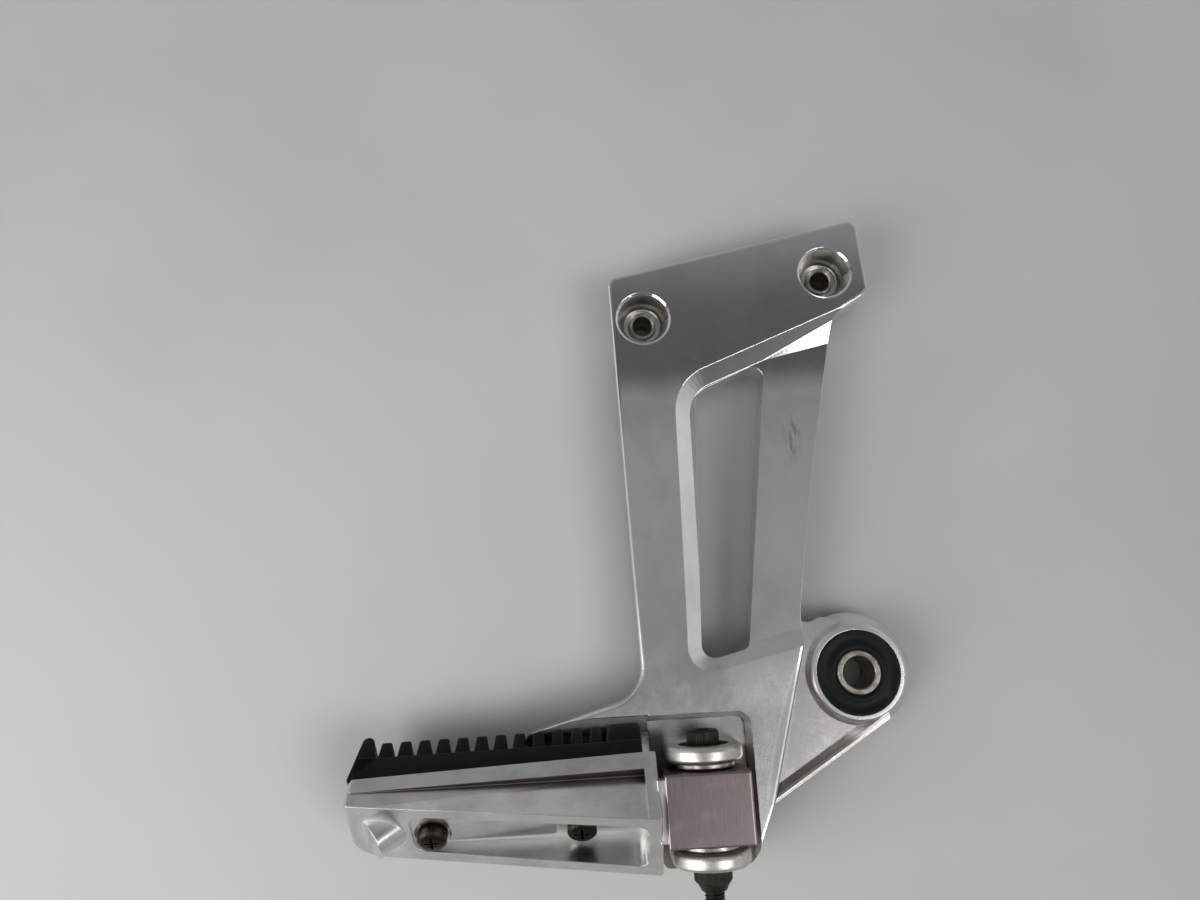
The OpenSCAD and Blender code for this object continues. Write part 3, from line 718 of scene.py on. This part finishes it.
@dataclass(frozen=True)
class MouldedRubber(Finish):
    """Black moulded rubber with a dusty bloom and worn edges."""

    name: str = "moulded_tread_rubber"
    body: Triple = (0.003, 0.003, 0.0033)
    bloom: Triple = (0.013, 0.013, 0.0135)
    base_rough: float = 0.44
    round_mm: float = 0.7
    bloom_share: float = 0.3

    def sockets(self, sheet: Sheet) -> dict:
        """Fine pebble, a dusty bloom and greyer edges.

        Args:
            sheet: The material's sheet.

        Returns:
            The sockets by name.
        """
        where = sheet.place()
        soft = sheet.soft_normal(self.round_mm)
        edge = sheet.edge(soft)
        cloud = sheet.noise(where, 120, 5, 0.65)
        pebble = sheet.noise(where, 1900, 3, 0.6)
        nicks = sheet.cells(sheet.place((0, 0, 30), (1, 0.6, 1)), 420).fall(0.05, 0.16)
        dust = cloud.rise(0.45, 0.7) * self.bloom_share + edge * 0.3
        tone = sheet.blend(self.body, self.bloom, dust.least(0.9))
        rough = self.base_rough + (cloud - 0.5) * 0.2 + (pebble - 0.5) * 0.12 + nicks * 0.1
        return {
            "Base Color": tone,
            "Roughness": rough,
            "Specular IOR Level": 0.16,
            "Normal": sheet.bump(pebble * 0.6 - nicks * 0.5, 0.03, soft),
        }


@dataclass(frozen=True)
class BenchTop(Finish):
    """Pale painted bench with faint scuffs."""

    name: str = "pale_bench"
    tone: Triple = (0.53, 0.528, 0.516)

    def sockets(self, sheet: Sheet) -> dict:
        """Nearly plain paint.

        Args:
            sheet: The material's sheet.

        Returns:
            The sockets by name.
        """
        cloud = sheet.noise(sheet.place(), 5, 4, 0.5)
        tone = sheet.blend(self.tone, tuple(c * 0.93 for c in self.tone), cloud.rise(0.4, 0.7))
        return {"Base Color": tone, "Roughness": 0.6, "Specular IOR Level": 0.2}


POLISHED = PolishedCasting()
PEG_METAL = PegCasting()
PLATED = Steel(metal=(0.4, 0.38, 0.34), stain=(0.15, 0.12, 0.08), wear=(0.6, 0.58, 0.53), stain_share=0.8)
WORN = Steel(name="grimy_plain_steel", metal=(0.46, 0.44, 0.41), stain=(0.1, 0.085, 0.07), wear=(0.8, 0.79, 0.77),
             base_rough=0.3, stain_share=0.7)
DARK = Steel(name="blackened_steel", metal=(0.045, 0.041, 0.035), stain=(0.02, 0.017, 0.013), wear=(0.15, 0.13, 0.1),
             base_rough=0.42, stain_share=0.6, wear_share=0.3)
BROWNED = Steel(name="browned_screw_steel", metal=(0.035, 0.028, 0.02), stain=(0.01, 0.008, 0.006),
                wear=(0.2, 0.165, 0.11), base_rough=0.34, stain_share=0.6, wear_share=0.35)
TREAD = MouldedRubber()
DAMPER = MouldedRubber(name="damper_ring_rubber", body=(0.004, 0.005, 0.0065), bloom=(0.016, 0.019, 0.023),
                       base_rough=0.5, round_mm=0.5, bloom_share=0.4)


# ---------------------------------------------------------------------- pieces


class Builder:
    """Shared steps for turning a bmesh into a finished piece."""

    @staticmethod
    def finish(bm: bmesh.types.BMesh, name: str, finish: Finish, body: Body, slot: Slot,
               replaces: Sequence[str] = (), smooth: float = 35.0) -> bpy.types.Object:
        """Makes the object, in place, and hangs it on its body.

        Args:
            bm: The mesh, in millimetres.
            name: The piece's name.
            finish: Its finish.
            body: The body it rides on.
            slot: The record's slot for the piece; not used.
            replaces: CAD nodes that it stands for.
            smooth: Largest angle between faces that shade as one, in degrees.

        Returns:
            The object.
        """
        bmesh.ops.scale(bm, vec=(MM, MM, MM), verts=bm.verts)
        bmesh.ops.remove_doubles(bm, verts=bm.verts, dist=WELD)
        bmesh.ops.recalc_face_normals(bm, faces=bm.faces)
        mesh = bpy.data.meshes.new(name)
        for face in bm.faces:
            face.smooth = True
        for edge in bm.edges:
            edge.smooth = len(edge.link_faces) == 2 and edge.calc_face_angle(0.0) < math.radians(smooth)
        bm.to_mesh(mesh)
        bm.free()
        mesh.materials.append(finish.material())
        obj = bpy.data.objects.new(name, mesh)
        bpy.context.scene.collection.objects.link(obj)
        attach(obj, body.value)
        if replaces:
            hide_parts(*replaces)
        log.info("piece %s: %d faces", name, len(mesh.polygons))
        return obj

    @staticmethod
    def round_edges(bm: bmesh.types.BMesh, edges: Sequence[bmesh.types.BMEdge], radius: float,
                    segments: int = 3) -> None:
        """Rounds edges.

        Args:
            bm: The mesh, in millimetres.
            edges: The edges.
            radius: Radius of the rounding.
            segments: Its steps.
        """
        bmesh.ops.bevel(bm, geom=edges, offset=radius, offset_type="OFFSET", affect="EDGES", segments=segments,
                        profile=0.5, material=-1, clamp_overlap=True)

    @staticmethod
    def upright(bm: bmesh.types.BMesh, place: Vector) -> None:
        """Turns a mesh made along +Z onto +Y and moves it into place.

        Args:
            bm: The mesh, in millimetres.
            place: Where its origin goes, in millimetres.
        """
        turn = Matrix.Rotation(math.radians(-90), 3, "X")
        bmesh.ops.rotate(bm, verts=bm.verts, cent=(0, 0, 0), matrix=turn)
        bmesh.ops.translate(bm, verts=bm.verts, vec=place)


@dataclass
class FoldBolt(Builder):
    """Knurled socket-head bolt that the peg folds on, with its thread below the nut."""

    pivot_x: float = 11.2
    under_y: float = -187.0
    pivot_z: float = 38.0
    head_d: float = 13.0
    head_h: float = 8.0
    crown_h: float = 1.0
    foot_h: float = 0.2
    groove: float = 0.32
    crown: tuple[tuple[float, float], ...] = ((-0.45, 0.55), (-0.7, 0.45))
    foot: tuple[tuple[float, float], ...] = ((-0.3, -0.2),)
    socket_af: float = 6.0
    socket_depth: float = 4.0
    bolt_d: float = 8.0
    pitch: float = 1.25
    ridges: int = 36
    tip_y: float = -243.4
    thread_len: float = 17.0
    thread_depth: float = 0.62

    def fit(self) -> None:
        """Takes the bolt's place and length from the CAD node it stands for."""
        low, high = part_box("fold_bolt")
        self.under_y = high.y / MM - self.head_h
        self.tip_y = low.y / MM

    def head(self, bm: bmesh.types.BMesh) -> None:
        """Adds the knurled head with its hexagon socket.

        Args:
            bm: The mesh, along +Z with z = 0 under the head, in millimetres.
        """
        side_h = self.head_h - self.crown_h - self.foot_h
        made = bmesh.ops.create_cone(bm, cap_ends=False, segments=self.ridges * 2, radius1=self.head_d / 2,
                                     radius2=self.head_d / 2, depth=side_h)
        bmesh.ops.translate(bm, verts=made["verts"], vec=(0, 0, side_h / 2 + self.foot_h))
        sides = sorted((f for f in bm.faces), key=lambda f: math.atan2(*f.calc_center_median().xy))
        grooves = bmesh.ops.inset_individual(bm, faces=sides[::2], thickness=0.1, depth=-self.groove)
        log.debug("knurl grooves: %d", len(grooves["faces"]))
        rim = [e for e in bm.edges if e.is_boundary]
        top = [e for e in rim if e.verts[0].co.z > 1]
        low = [e for e in rim if e.verts[0].co.z < 1]
        for edges, steps in ((top, self.crown), (low, self.foot)):
            loop = edges
            for inward, up in steps:
                grown = bmesh.ops.extrude_edge_only(bm, edges=loop)["geom"]
                verts = [g for g in grown if isinstance(g, bmesh.types.BMVert)]
                loop = [g for g in grown if isinstance(g, bmesh.types.BMEdge)
                        and all(v in verts for v in g.verts)]
                radius = verts[0].co.xy.length
                bmesh.ops.scale(bm, vec=((radius + inward) / radius,) * 2 + (1,), verts=verts)
                bmesh.ops.translate(bm, verts=verts, vec=(0, 0, up))
            if edges is top:
                corner_r = self.socket_af / 2 / math.cos(math.radians(30))
                mouth = bmesh.ops.create_circle(bm, segments=6, radius=corner_r)
                bmesh.ops.translate(bm, verts=mouth["verts"], vec=(0, 0, self.head_h - 0.2))
                ring = list({e for v in mouth["verts"] for e in v.link_edges})
                bmesh.ops.bridge_loops(bm, edges=loop + ring)
                walls = bmesh.ops.extrude_edge_only(bm, edges=ring)["geom"]
                deep = [g for g in walls if isinstance(g, bmesh.types.BMVert)]
                bmesh.ops.translate(bm, verts=deep, vec=(0, 0, -self.socket_depth))
                floor = [g for g in walls if isinstance(g, bmesh.types.BMEdge) and all(v in deep for v in g.verts)]
                bmesh.ops.contextual_create(bm, geom=floor)
            else:
                bmesh.ops.holes_fill(bm, edges=loop, sides=0)

    def shank(self, bm: bmesh.types.BMesh, length: float) -> None:
        """Adds the plain shank and the helical thread at its end.

        Args:
            bm: The mesh, along +Z, in millimetres.
            length: Length under the head.
        """
        plain = length - self.thread_len
        root = self.bolt_d / 2 - self.thread_depth
        for radius, top, low in ((self.bolt_d / 2, 0.1, -plain), (root, 0.1 - plain, -length)):
            made = bmesh.ops.create_cone(bm, cap_ends=True, segments=40, radius1=radius - 0.01, radius2=radius,
                                         depth=top - low)
            bmesh.ops.translate(bm, verts=made["verts"], vec=(0, 0, (top + low) / 2))
        start = -length + 0.6
        flank, crest, inner, outer = self.thread_depth, 0.08, root - 0.1, self.bolt_d / 2 - 0.06
        profile = [bm.verts.new((r, 0, start + z)) for r, z in
                   ((inner, -flank), (outer, -crest), (outer, crest), (inner, flank))]
        lines = [bm.edges.new(pair) for pair in zip(profile, profile[1:] + profile[:1])]
        turns = (self.thread_len - 1.8) / self.pitch
        steps = int(turns * 24)
        bmesh.ops.spin(bm, geom=profile + lines, cent=(0, 0, 0), axis=(0, 0, 1), angle=2 * math.pi * turns,
                       dvec=(0, 0, self.pitch * turns / steps), steps=steps, use_merge=False, use_duplicate=False)
        bmesh.ops.holes_fill(bm, edges=[e for e in bm.edges if e.is_boundary], sides=0)

    def build(self) -> bpy.types.Object:
        """Makes the bolt.

        Returns:
            The piece.
        """
        self.fit()
        bm = bmesh.new()
        self.head(bm)
        self.shank(bm, self.under_y - self.tip_y)
        self.upright(bm, Vector((self.pivot_x, self.under_y, self.pivot_z)))
        return self.finish(bm, "knurled_fold_bolt", DARK, Body.HANGER, Slot.DARK, ["fold_bolt"])


@dataclass
class TreadRubber(Builder):
    """Ribbed tread of the peg, in the peg's own tilted frame."""

    pivot: Triple = (11.2, -207.2, 38.0)
    tilt: float = 47.0
    outer_x: float = -141.2
    inner_x: float = -24.4
    seat: tuple[float, float] = (10.43, 14.23)
    front: tuple[float, float] = (13.5, 15.13)
    rear: tuple[float, float] = (-16.2, -18.8)
    top_y: float = 29.4
    rib_h: float = 8.2
    block_len: float = 13.6
    first_rib: float = -42.9
    pitch: float = 7.87
    ribs: int = 12
    foot: float = 6.0
    crest: float = 4.4
    inset: float = 0.9
    lip_rise: float = 2.2
    lip_t: float = 5.0
    lip_x: float = 4.1
    lip_foot: tuple[tuple[float, float], ...] = ((8.4, -2.0), (8.0, 0.8))
    overhang: float = 1.5
    corner_r: float = 11.0
    corner_runs: tuple[float, ...] = (0, 1, 2.5, 5, 9)
    slab_round: float = 0.9
    rib_round: float = 1.0
    block_round: float = 1.1
    lip_round: float = 0.5

    def share(self, x: float) -> float:
        """Share of the way from the outer end to the inner one."""
        return (x - self.outer_x) / (self.inner_x - self.outer_x)

    def between(self, pair: tuple[float, float], x: float) -> float:
        """Value at x of a size that changes evenly along the tread.

        Args:
            pair: The size at the outer and at the inner end.
            x: Where it is wanted.

        Returns:
            The size.
        """
        return pair[0] + (pair[1] - pair[0]) * self.share(x)

    def rear_at(self, x: float) -> float:
        """Rear side of the rubber at x, with its rounded outer corner.

        Args:
            x: Place along the peg.

        Returns:
            The side's place across the peg.
        """
        run = self.corner_r - min(max(x - self.outer_x + self.overhang, 0.0), self.corner_r)
        return self.between(self.rear, x) + self.corner_r - math.sqrt(self.corner_r ** 2 - run ** 2)

    def prism(self, bm: bmesh.types.BMesh, corners: Sequence[tuple[float, float]], inset: float,
              round_mm: float, segments: int = 3) -> None:
        """Adds one block across the tread with every edge rounded.

        Args:
            bm: The mesh, in millimetres.
            corners: Its side view, as (x, y) corners.
            inset: How far its ends stand in from the rubber's sides.
            round_mm: Radius of its edges.
            segments: Steps of each rounding.
        """
        verts = [bm.verts.new((x, y, self.rear_at(x) + inset)) for x, y in corners]
        face = bm.faces.new(verts)
        grown = bmesh.ops.extrude_face_region(bm, geom=[face])["geom"]
        far = [g for g in grown if isinstance(g, bmesh.types.BMVert)]
        for vert in far:
            vert.co.z = self.between(self.front, vert.co.x) - inset
        edges = list({e for v in verts + far for e in v.link_edges})
        bmesh.ops.recalc_face_normals(bm, faces=list({f for v in verts + far for f in v.link_faces}))
        self.round_edges(bm, edges, round_mm, segments)

    def base(self, bm: bmesh.types.BMesh, floor: float) -> None:
        """Adds the slab that carries the ribs, its rear outer corner rounded all the way down.

        Args:
            bm: The mesh, in millimetres.
            floor: Height of the gaps between the ribs.
        """
        stations = [self.outer_x + run for run in self.corner_runs] + [self.inner_x]
        rows = [[bm.verts.new((x, y, self.rear_at(x))) for y in (self.between(self.seat, x), floor)]
                for x in stations]
        faces = [bm.faces.new((a[0], b[0], b[1], a[1])) for a, b in zip(rows, rows[1:])]
        grown = bmesh.ops.extrude_face_region(bm, geom=faces)["geom"]
        for vert in (g for g in grown if isinstance(g, bmesh.types.BMVert)):
            vert.co.z = self.between(self.front, vert.co.x)
        bmesh.ops.recalc_face_normals(bm, faces=bm.faces)
        sharp = [e for e in bm.edges if e.calc_face_angle(0.0) > math.radians(30)]
        self.round_edges(bm, sharp, self.slab_round)

    def build(self) -> bpy.types.Object:
        """Makes the rubber.

        Returns:
            The piece.
        """
        bm = bmesh.new()
        floor = self.top_y - self.rib_h
        step = self.inner_x - self.block_len
        self.base(bm, floor)
        self.prism(bm, [(step - 1.3, floor - 2), (self.inner_x, floor - 2), (self.inner_x, self.top_y),
                        (step, self.top_y)], 0.25, self.block_round, 4)
        for number in range(self.ribs):
            x = self.first_rib - number * self.pitch
            self.prism(bm, [(x - self.foot / 2, floor - 1.5), (x + self.foot / 2, floor - 1.5),
                            (x + self.crest / 2, self.top_y), (x - self.crest / 2, self.top_y)], self.inset,
                       self.rib_round, 4)
        x = self.outer_x
        round_r = self.lip_t / 2
        centre = Vector((x + self.lip_x, self.top_y + self.lip_rise - round_r))
        crown = [centre + round_r * Vector((math.cos(math.radians(a)), math.sin(math.radians(a))))
                 for a in range(0, 181, 20)]
        self.prism(bm, [(x - self.overhang, self.seat[0])] + [(x + run, floor + up) for run, up in self.lip_foot]
                   + [tuple(point) for point in crown], 0.0, self.lip_round, 2)
        turn = Matrix.Rotation(math.radians(-self.tilt), 3, "X")
        bmesh.ops.rotate(bm, verts=bm.verts, cent=(0, 0, 0), matrix=turn)
        bmesh.ops.translate(bm, verts=bm.verts, vec=self.pivot)
        return self.finish(bm, "ribbed_tread", TREAD, Body.FOOTPEG, Slot.TREAD, ["tread_rubber"], 50.0)


@dataclass
class DamperRing(Builder):
    """Moulded ring of the damper: a bead on both sides of a shallow groove, its outer lip torn in one place."""

    centre: tuple[float, float] = (81.2, -161.4)
    profile: tuple[tuple[float, float], ...] = (
        (9.32, 0.6), (17.0, 0.6), (17.8, 1.4), (17.8, 22.1), (17.55, 22.55), (17.0, 22.7), (16.3, 22.6),
        (15.8, 22.25), (12.4, 22.15), (11.9, 22.5), (11.2, 22.7), (10.3, 22.65), (9.7, 22.3), (9.32, 22.0))
    steps: int = 112
    torn_at: float = -38.0
    torn_span: float = 16.0
    torn_depth: float = 0.75

    def tear(self, bm: bmesh.types.BMesh) -> None:
        """Drops the outer lip unevenly over the torn stretch.

        Args:
            bm: The ring, in millimetres.
        """
        for vert in bm.verts:
            off = (math.degrees(math.atan2(vert.co.y, vert.co.x)) - self.torn_at) / self.torn_span
            if abs(off) < 1 and vert.co.xy.length > 16.0 and vert.co.z > 20:
                ragged = 0.65 + 0.35 * math.sin(off * 21) * math.cos(off * 8)
                vert.co.z -= self.torn_depth * ragged * math.cos(off * math.pi / 2)
                vert.co.xy *= 1 - 0.03 * ragged * (1 - off * off)

    def build(self) -> bpy.types.Object:
        """Makes the ring.

        Returns:
            The piece.
        """
        bm = bmesh.new()
        verts = [bm.verts.new((r, 0, z)) for r, z in self.profile]
        edges = [bm.edges.new((a, b)) for a, b in zip(verts, verts[1:] + verts[:1])]
        bmesh.ops.spin(bm, geom=verts + edges, cent=(0, 0, 0), axis=(0, 0, 1), angle=2 * math.pi,
                       steps=self.steps, use_merge=True, use_duplicate=False)
        self.tear(bm)
        bmesh.ops.translate(bm, verts=bm.verts, vec=(*self.centre, 0))
        return self.finish(bm, "moulded_damper_ring", DAMPER, Body.HANGER, Slot.DAMPER, ["damper_rubber"], 40.0)


@dataclass
class RimFairing(Builder):
    """Smooth run-out of the web's raised rim into the damper ring."""

    foot: tuple[float, float] = (40.2, -213.1)
    head: tuple[float, float] = (93.8, -181.1)
    low_z: float = 9.2
    section: tuple[tuple[float, float], ...] = (
        (0.0, 15.2), (2.0, 21.4), (3.4, 21.4), (6.4, 19.7))
    tip: tuple[tuple[float, float], ...] = ((0.3, 0.0), (1.0, 2.0), (4.0, 0.0))
    overlap: float = 1.0
    run_out: float = 9.5
    sink: float = 0.02
    soft: float = 0.5

    def build(self) -> bpy.types.Object:
        """Makes the fairing.

        Returns:
            The piece.
        """
        heading = (Vector(self.head) - Vector(self.foot)).normalized()
        across = Vector((-heading.y, heading.x))
        bm = bmesh.new()
        width = self.section[-1][0]
        for side, z in [*self.section, (0.0, self.low_z), (width, self.low_z)]:
            place = Vector(self.head) - heading * self.overlap + across * side
            bm.verts.new((*place, z - self.sink))
        for side, rise in self.tip:
            place = Vector(self.head) + heading * self.run_out + across * side
            bm.verts.new((*place, self.low_z + rise))
        bmesh.ops.convex_hull(bm, input=bm.verts)
        self.round_edges(bm, list(bm.edges), self.soft)
        return self.finish(bm, "rim_run_out", POLISHED, Body.HANGER, Slot.POLISHED, (), 60.0)


@dataclass
class Dressing:
    """Finishes for the CAD nodes that are shown as they are, without the three that are replaced."""

    coats: dict[str, Finish] = field(default_factory=lambda: {
        "bracket": POLISHED,
        "collar_left": PLATED,
        "collar_right": PLATED,
        "damper_sleeve": PLATED,
        "washer_upper": WORN,
        "washer_lower": WORN,
        "hub_collar": PLATED,
        "fold_nut": DARK,
        "peg": PEG_METAL,
        "tread_insert": PLATED,
        "screw_inner": BROWNED,
        "screw_outer": BROWNED,
        "lock_washer_inner": WORN,
        "lock_washer_outer": WORN,
    })

    def apply(self, nodes: dict[str, bpy.types.Object]) -> None:
        """Puts each node's finish in its material slots.

        Args:
            nodes: The CAD nodes by name.
        """
        for name, finish in self.coats.items():
            node = nodes[name]
            coat = finish.material()
            if not node.material_slots:
                node.data.materials.append(coat)
            for slot in node.material_slots:
                slot.material = coat
            log.info("node %s wears %s", name, coat.name)


# ----------------------------------------------------------------------- stage


@dataclass(frozen=True)
class SoftBox:
    """One lamp: where it hangs and what it points at, its width and height, all in metres, and its power."""

    name: str
    place: Triple
    aim: Triple
    size: tuple[float, float]
    watts: float


@dataclass
class Studio:
    """Bench, soft light and the camera."""

    eye: Triple = (-27.83, -142.67, 418.0)
    tilt: float = 12.0
    roll: float = 3.3
    focal_px: float = 906.0
    frame_px: float = 1200.0
    sensor: float = 36.0
    bench_mm: float = 6000.0
    bench_drop: float = 0.4
    side_level: float = 0.48
    far_level: float = 0.3
    near_level: float = 0.2
    overhead: tuple[tuple[float, float], ...] = (
        (0.0, 0.22), (0.12, 0.16), (0.175, 0.1), (0.26, 0.18), (0.37, 0.28), (0.41, 0.5), (0.44, 0.4),
        (0.4675, 0.17), (0.49, 0.21), (0.515, 0.33), (0.5695, 0.3), (0.5715, 0.1), (0.596, 0.12),
        (0.616, 0.26), (0.68, 0.3), (1.0, 0.32))
    boxes: tuple[SoftBox, ...] = (
        SoftBox("soft_box_left", (-0.78, -0.5, 0.58), (-0.05, -0.2, 0), (0.7, 0.9), 7.5),
        SoftBox("soft_box_right", (2.45, -1.7, 4.0), (0.03, -0.1, 0), (2.5, 2.4), 78))

    def bench(self) -> bpy.types.Object:
        """Makes the floor.

        Returns:
            The floor.
        """
        bm = bmesh.new()
        bmesh.ops.create_grid(bm, x_segments=2, y_segments=2, size=self.bench_mm / 2 * MM)
        bmesh.ops.translate(bm, verts=bm.verts, vec=(0, 0, -self.bench_drop * MM))
        mesh = bpy.data.meshes.new("bench")
        bm.to_mesh(mesh)
        bm.free()
        mesh.materials.append(BenchTop().material())
        obj = bpy.data.objects.new("bench", mesh)
        bpy.context.scene.collection.objects.link(obj)
        return obj

    @staticmethod
    def lamp(box: SoftBox) -> None:
        """Adds one soft box.

        Args:
            box: The lamp's place, size and power.
        """
        data = bpy.data.lights.new(box.name, "AREA")
        data.shape = "RECTANGLE"
        data.size, data.size_y = box.size
        data.energy = box.watts
        obj = bpy.data.objects.new(box.name, data)
        obj.location = box.place
        obj.rotation_mode = "QUATERNION"
        obj.rotation_quaternion = (Vector(box.aim) - Vector(box.place)).to_track_quat("-Z", "Y")
        bpy.context.scene.collection.objects.link(obj)

    def light(self) -> None:
        """Sets the room's soft light and the soft boxes."""
        world = bpy.data.worlds.new("soft_room")
        bpy.context.scene.world = world
        world.use_nodes = True
        world.node_tree.nodes.clear()
        sheet = Sheet(world.node_tree)
        x, y, z = sheet.axes(sheet.add("ShaderNodeTexCoord", output="Generated"))
        slope = (y / z.most(0.04) + 2) * 0.25
        overhead = sheet.add("ShaderNodeValToRGB", {"stops": [
            (place, (level, level, level + 0.01)) for place, level in self.overhead]}, {"Fac": slope}, "Color")
        around = (x * x) * self.side_level + y.rise(-0.2, 0.3) * self.far_level + y.fall(-0.3, 0.2) * self.near_level
        wall = sheet.add("ShaderNodeCombineXYZ", None, {"X": around, "Y": around, "Z": around * 1.01})
        room = sheet.blend(wall, overhead, z.rise(0.3, 0.62))
        glow = sheet.add("ShaderNodeBackground", None, {"Color": room, "Strength": 1.0})
        end = world.node_tree.nodes.new("ShaderNodeOutputWorld")
        world.node_tree.links.new(glow.socket, end.inputs["Surface"])
        for box in self.boxes:
            self.lamp(box)

    def camera(self) -> None:
        """Puts the camera where the photograph was taken from."""
        t, r = math.radians(self.tilt), math.radians(self.roll)
        right = Vector((math.cos(r), -math.sin(r), 0))
        up = Vector((math.cos(t) * math.sin(r), math.cos(t) * math.cos(r), math.sin(t)))
        back = right.cross(up)
        data = bpy.data.cameras.new("camera")
        data.sensor_width = self.sensor
        data.lens = self.focal_px / self.frame_px * self.sensor
        data.clip_start, data.clip_end = 0.01, 50
        obj = bpy.data.objects.new("camera", data)
        turned = Matrix((right, up, back)).transposed().to_4x4()
        obj.matrix_world = Matrix.Translation(Vector(self.eye) * MM) @ turned
        bpy.context.scene.collection.objects.link(obj)
        bpy.context.scene.camera = obj

    def build(self) -> None:
        """Sets up the whole stage."""
        self.bench()
        self.light()
        self.camera()
        bpy.context.scene.view_settings.view_transform = "Standard"


def main() -> None:
    """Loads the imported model, dresses it and reports each piece."""
    logging.basicConfig(level=logging.INFO, format="%(name)s: %(message)s")
    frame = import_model()
    Dressing().apply(frame["nodes"])
    FoldBolt().build()
    TreadRubber().build()
    DamperRing().build()
    RimFairing().build()
    Studio().build()


if __name__ == "__main__":
    main()
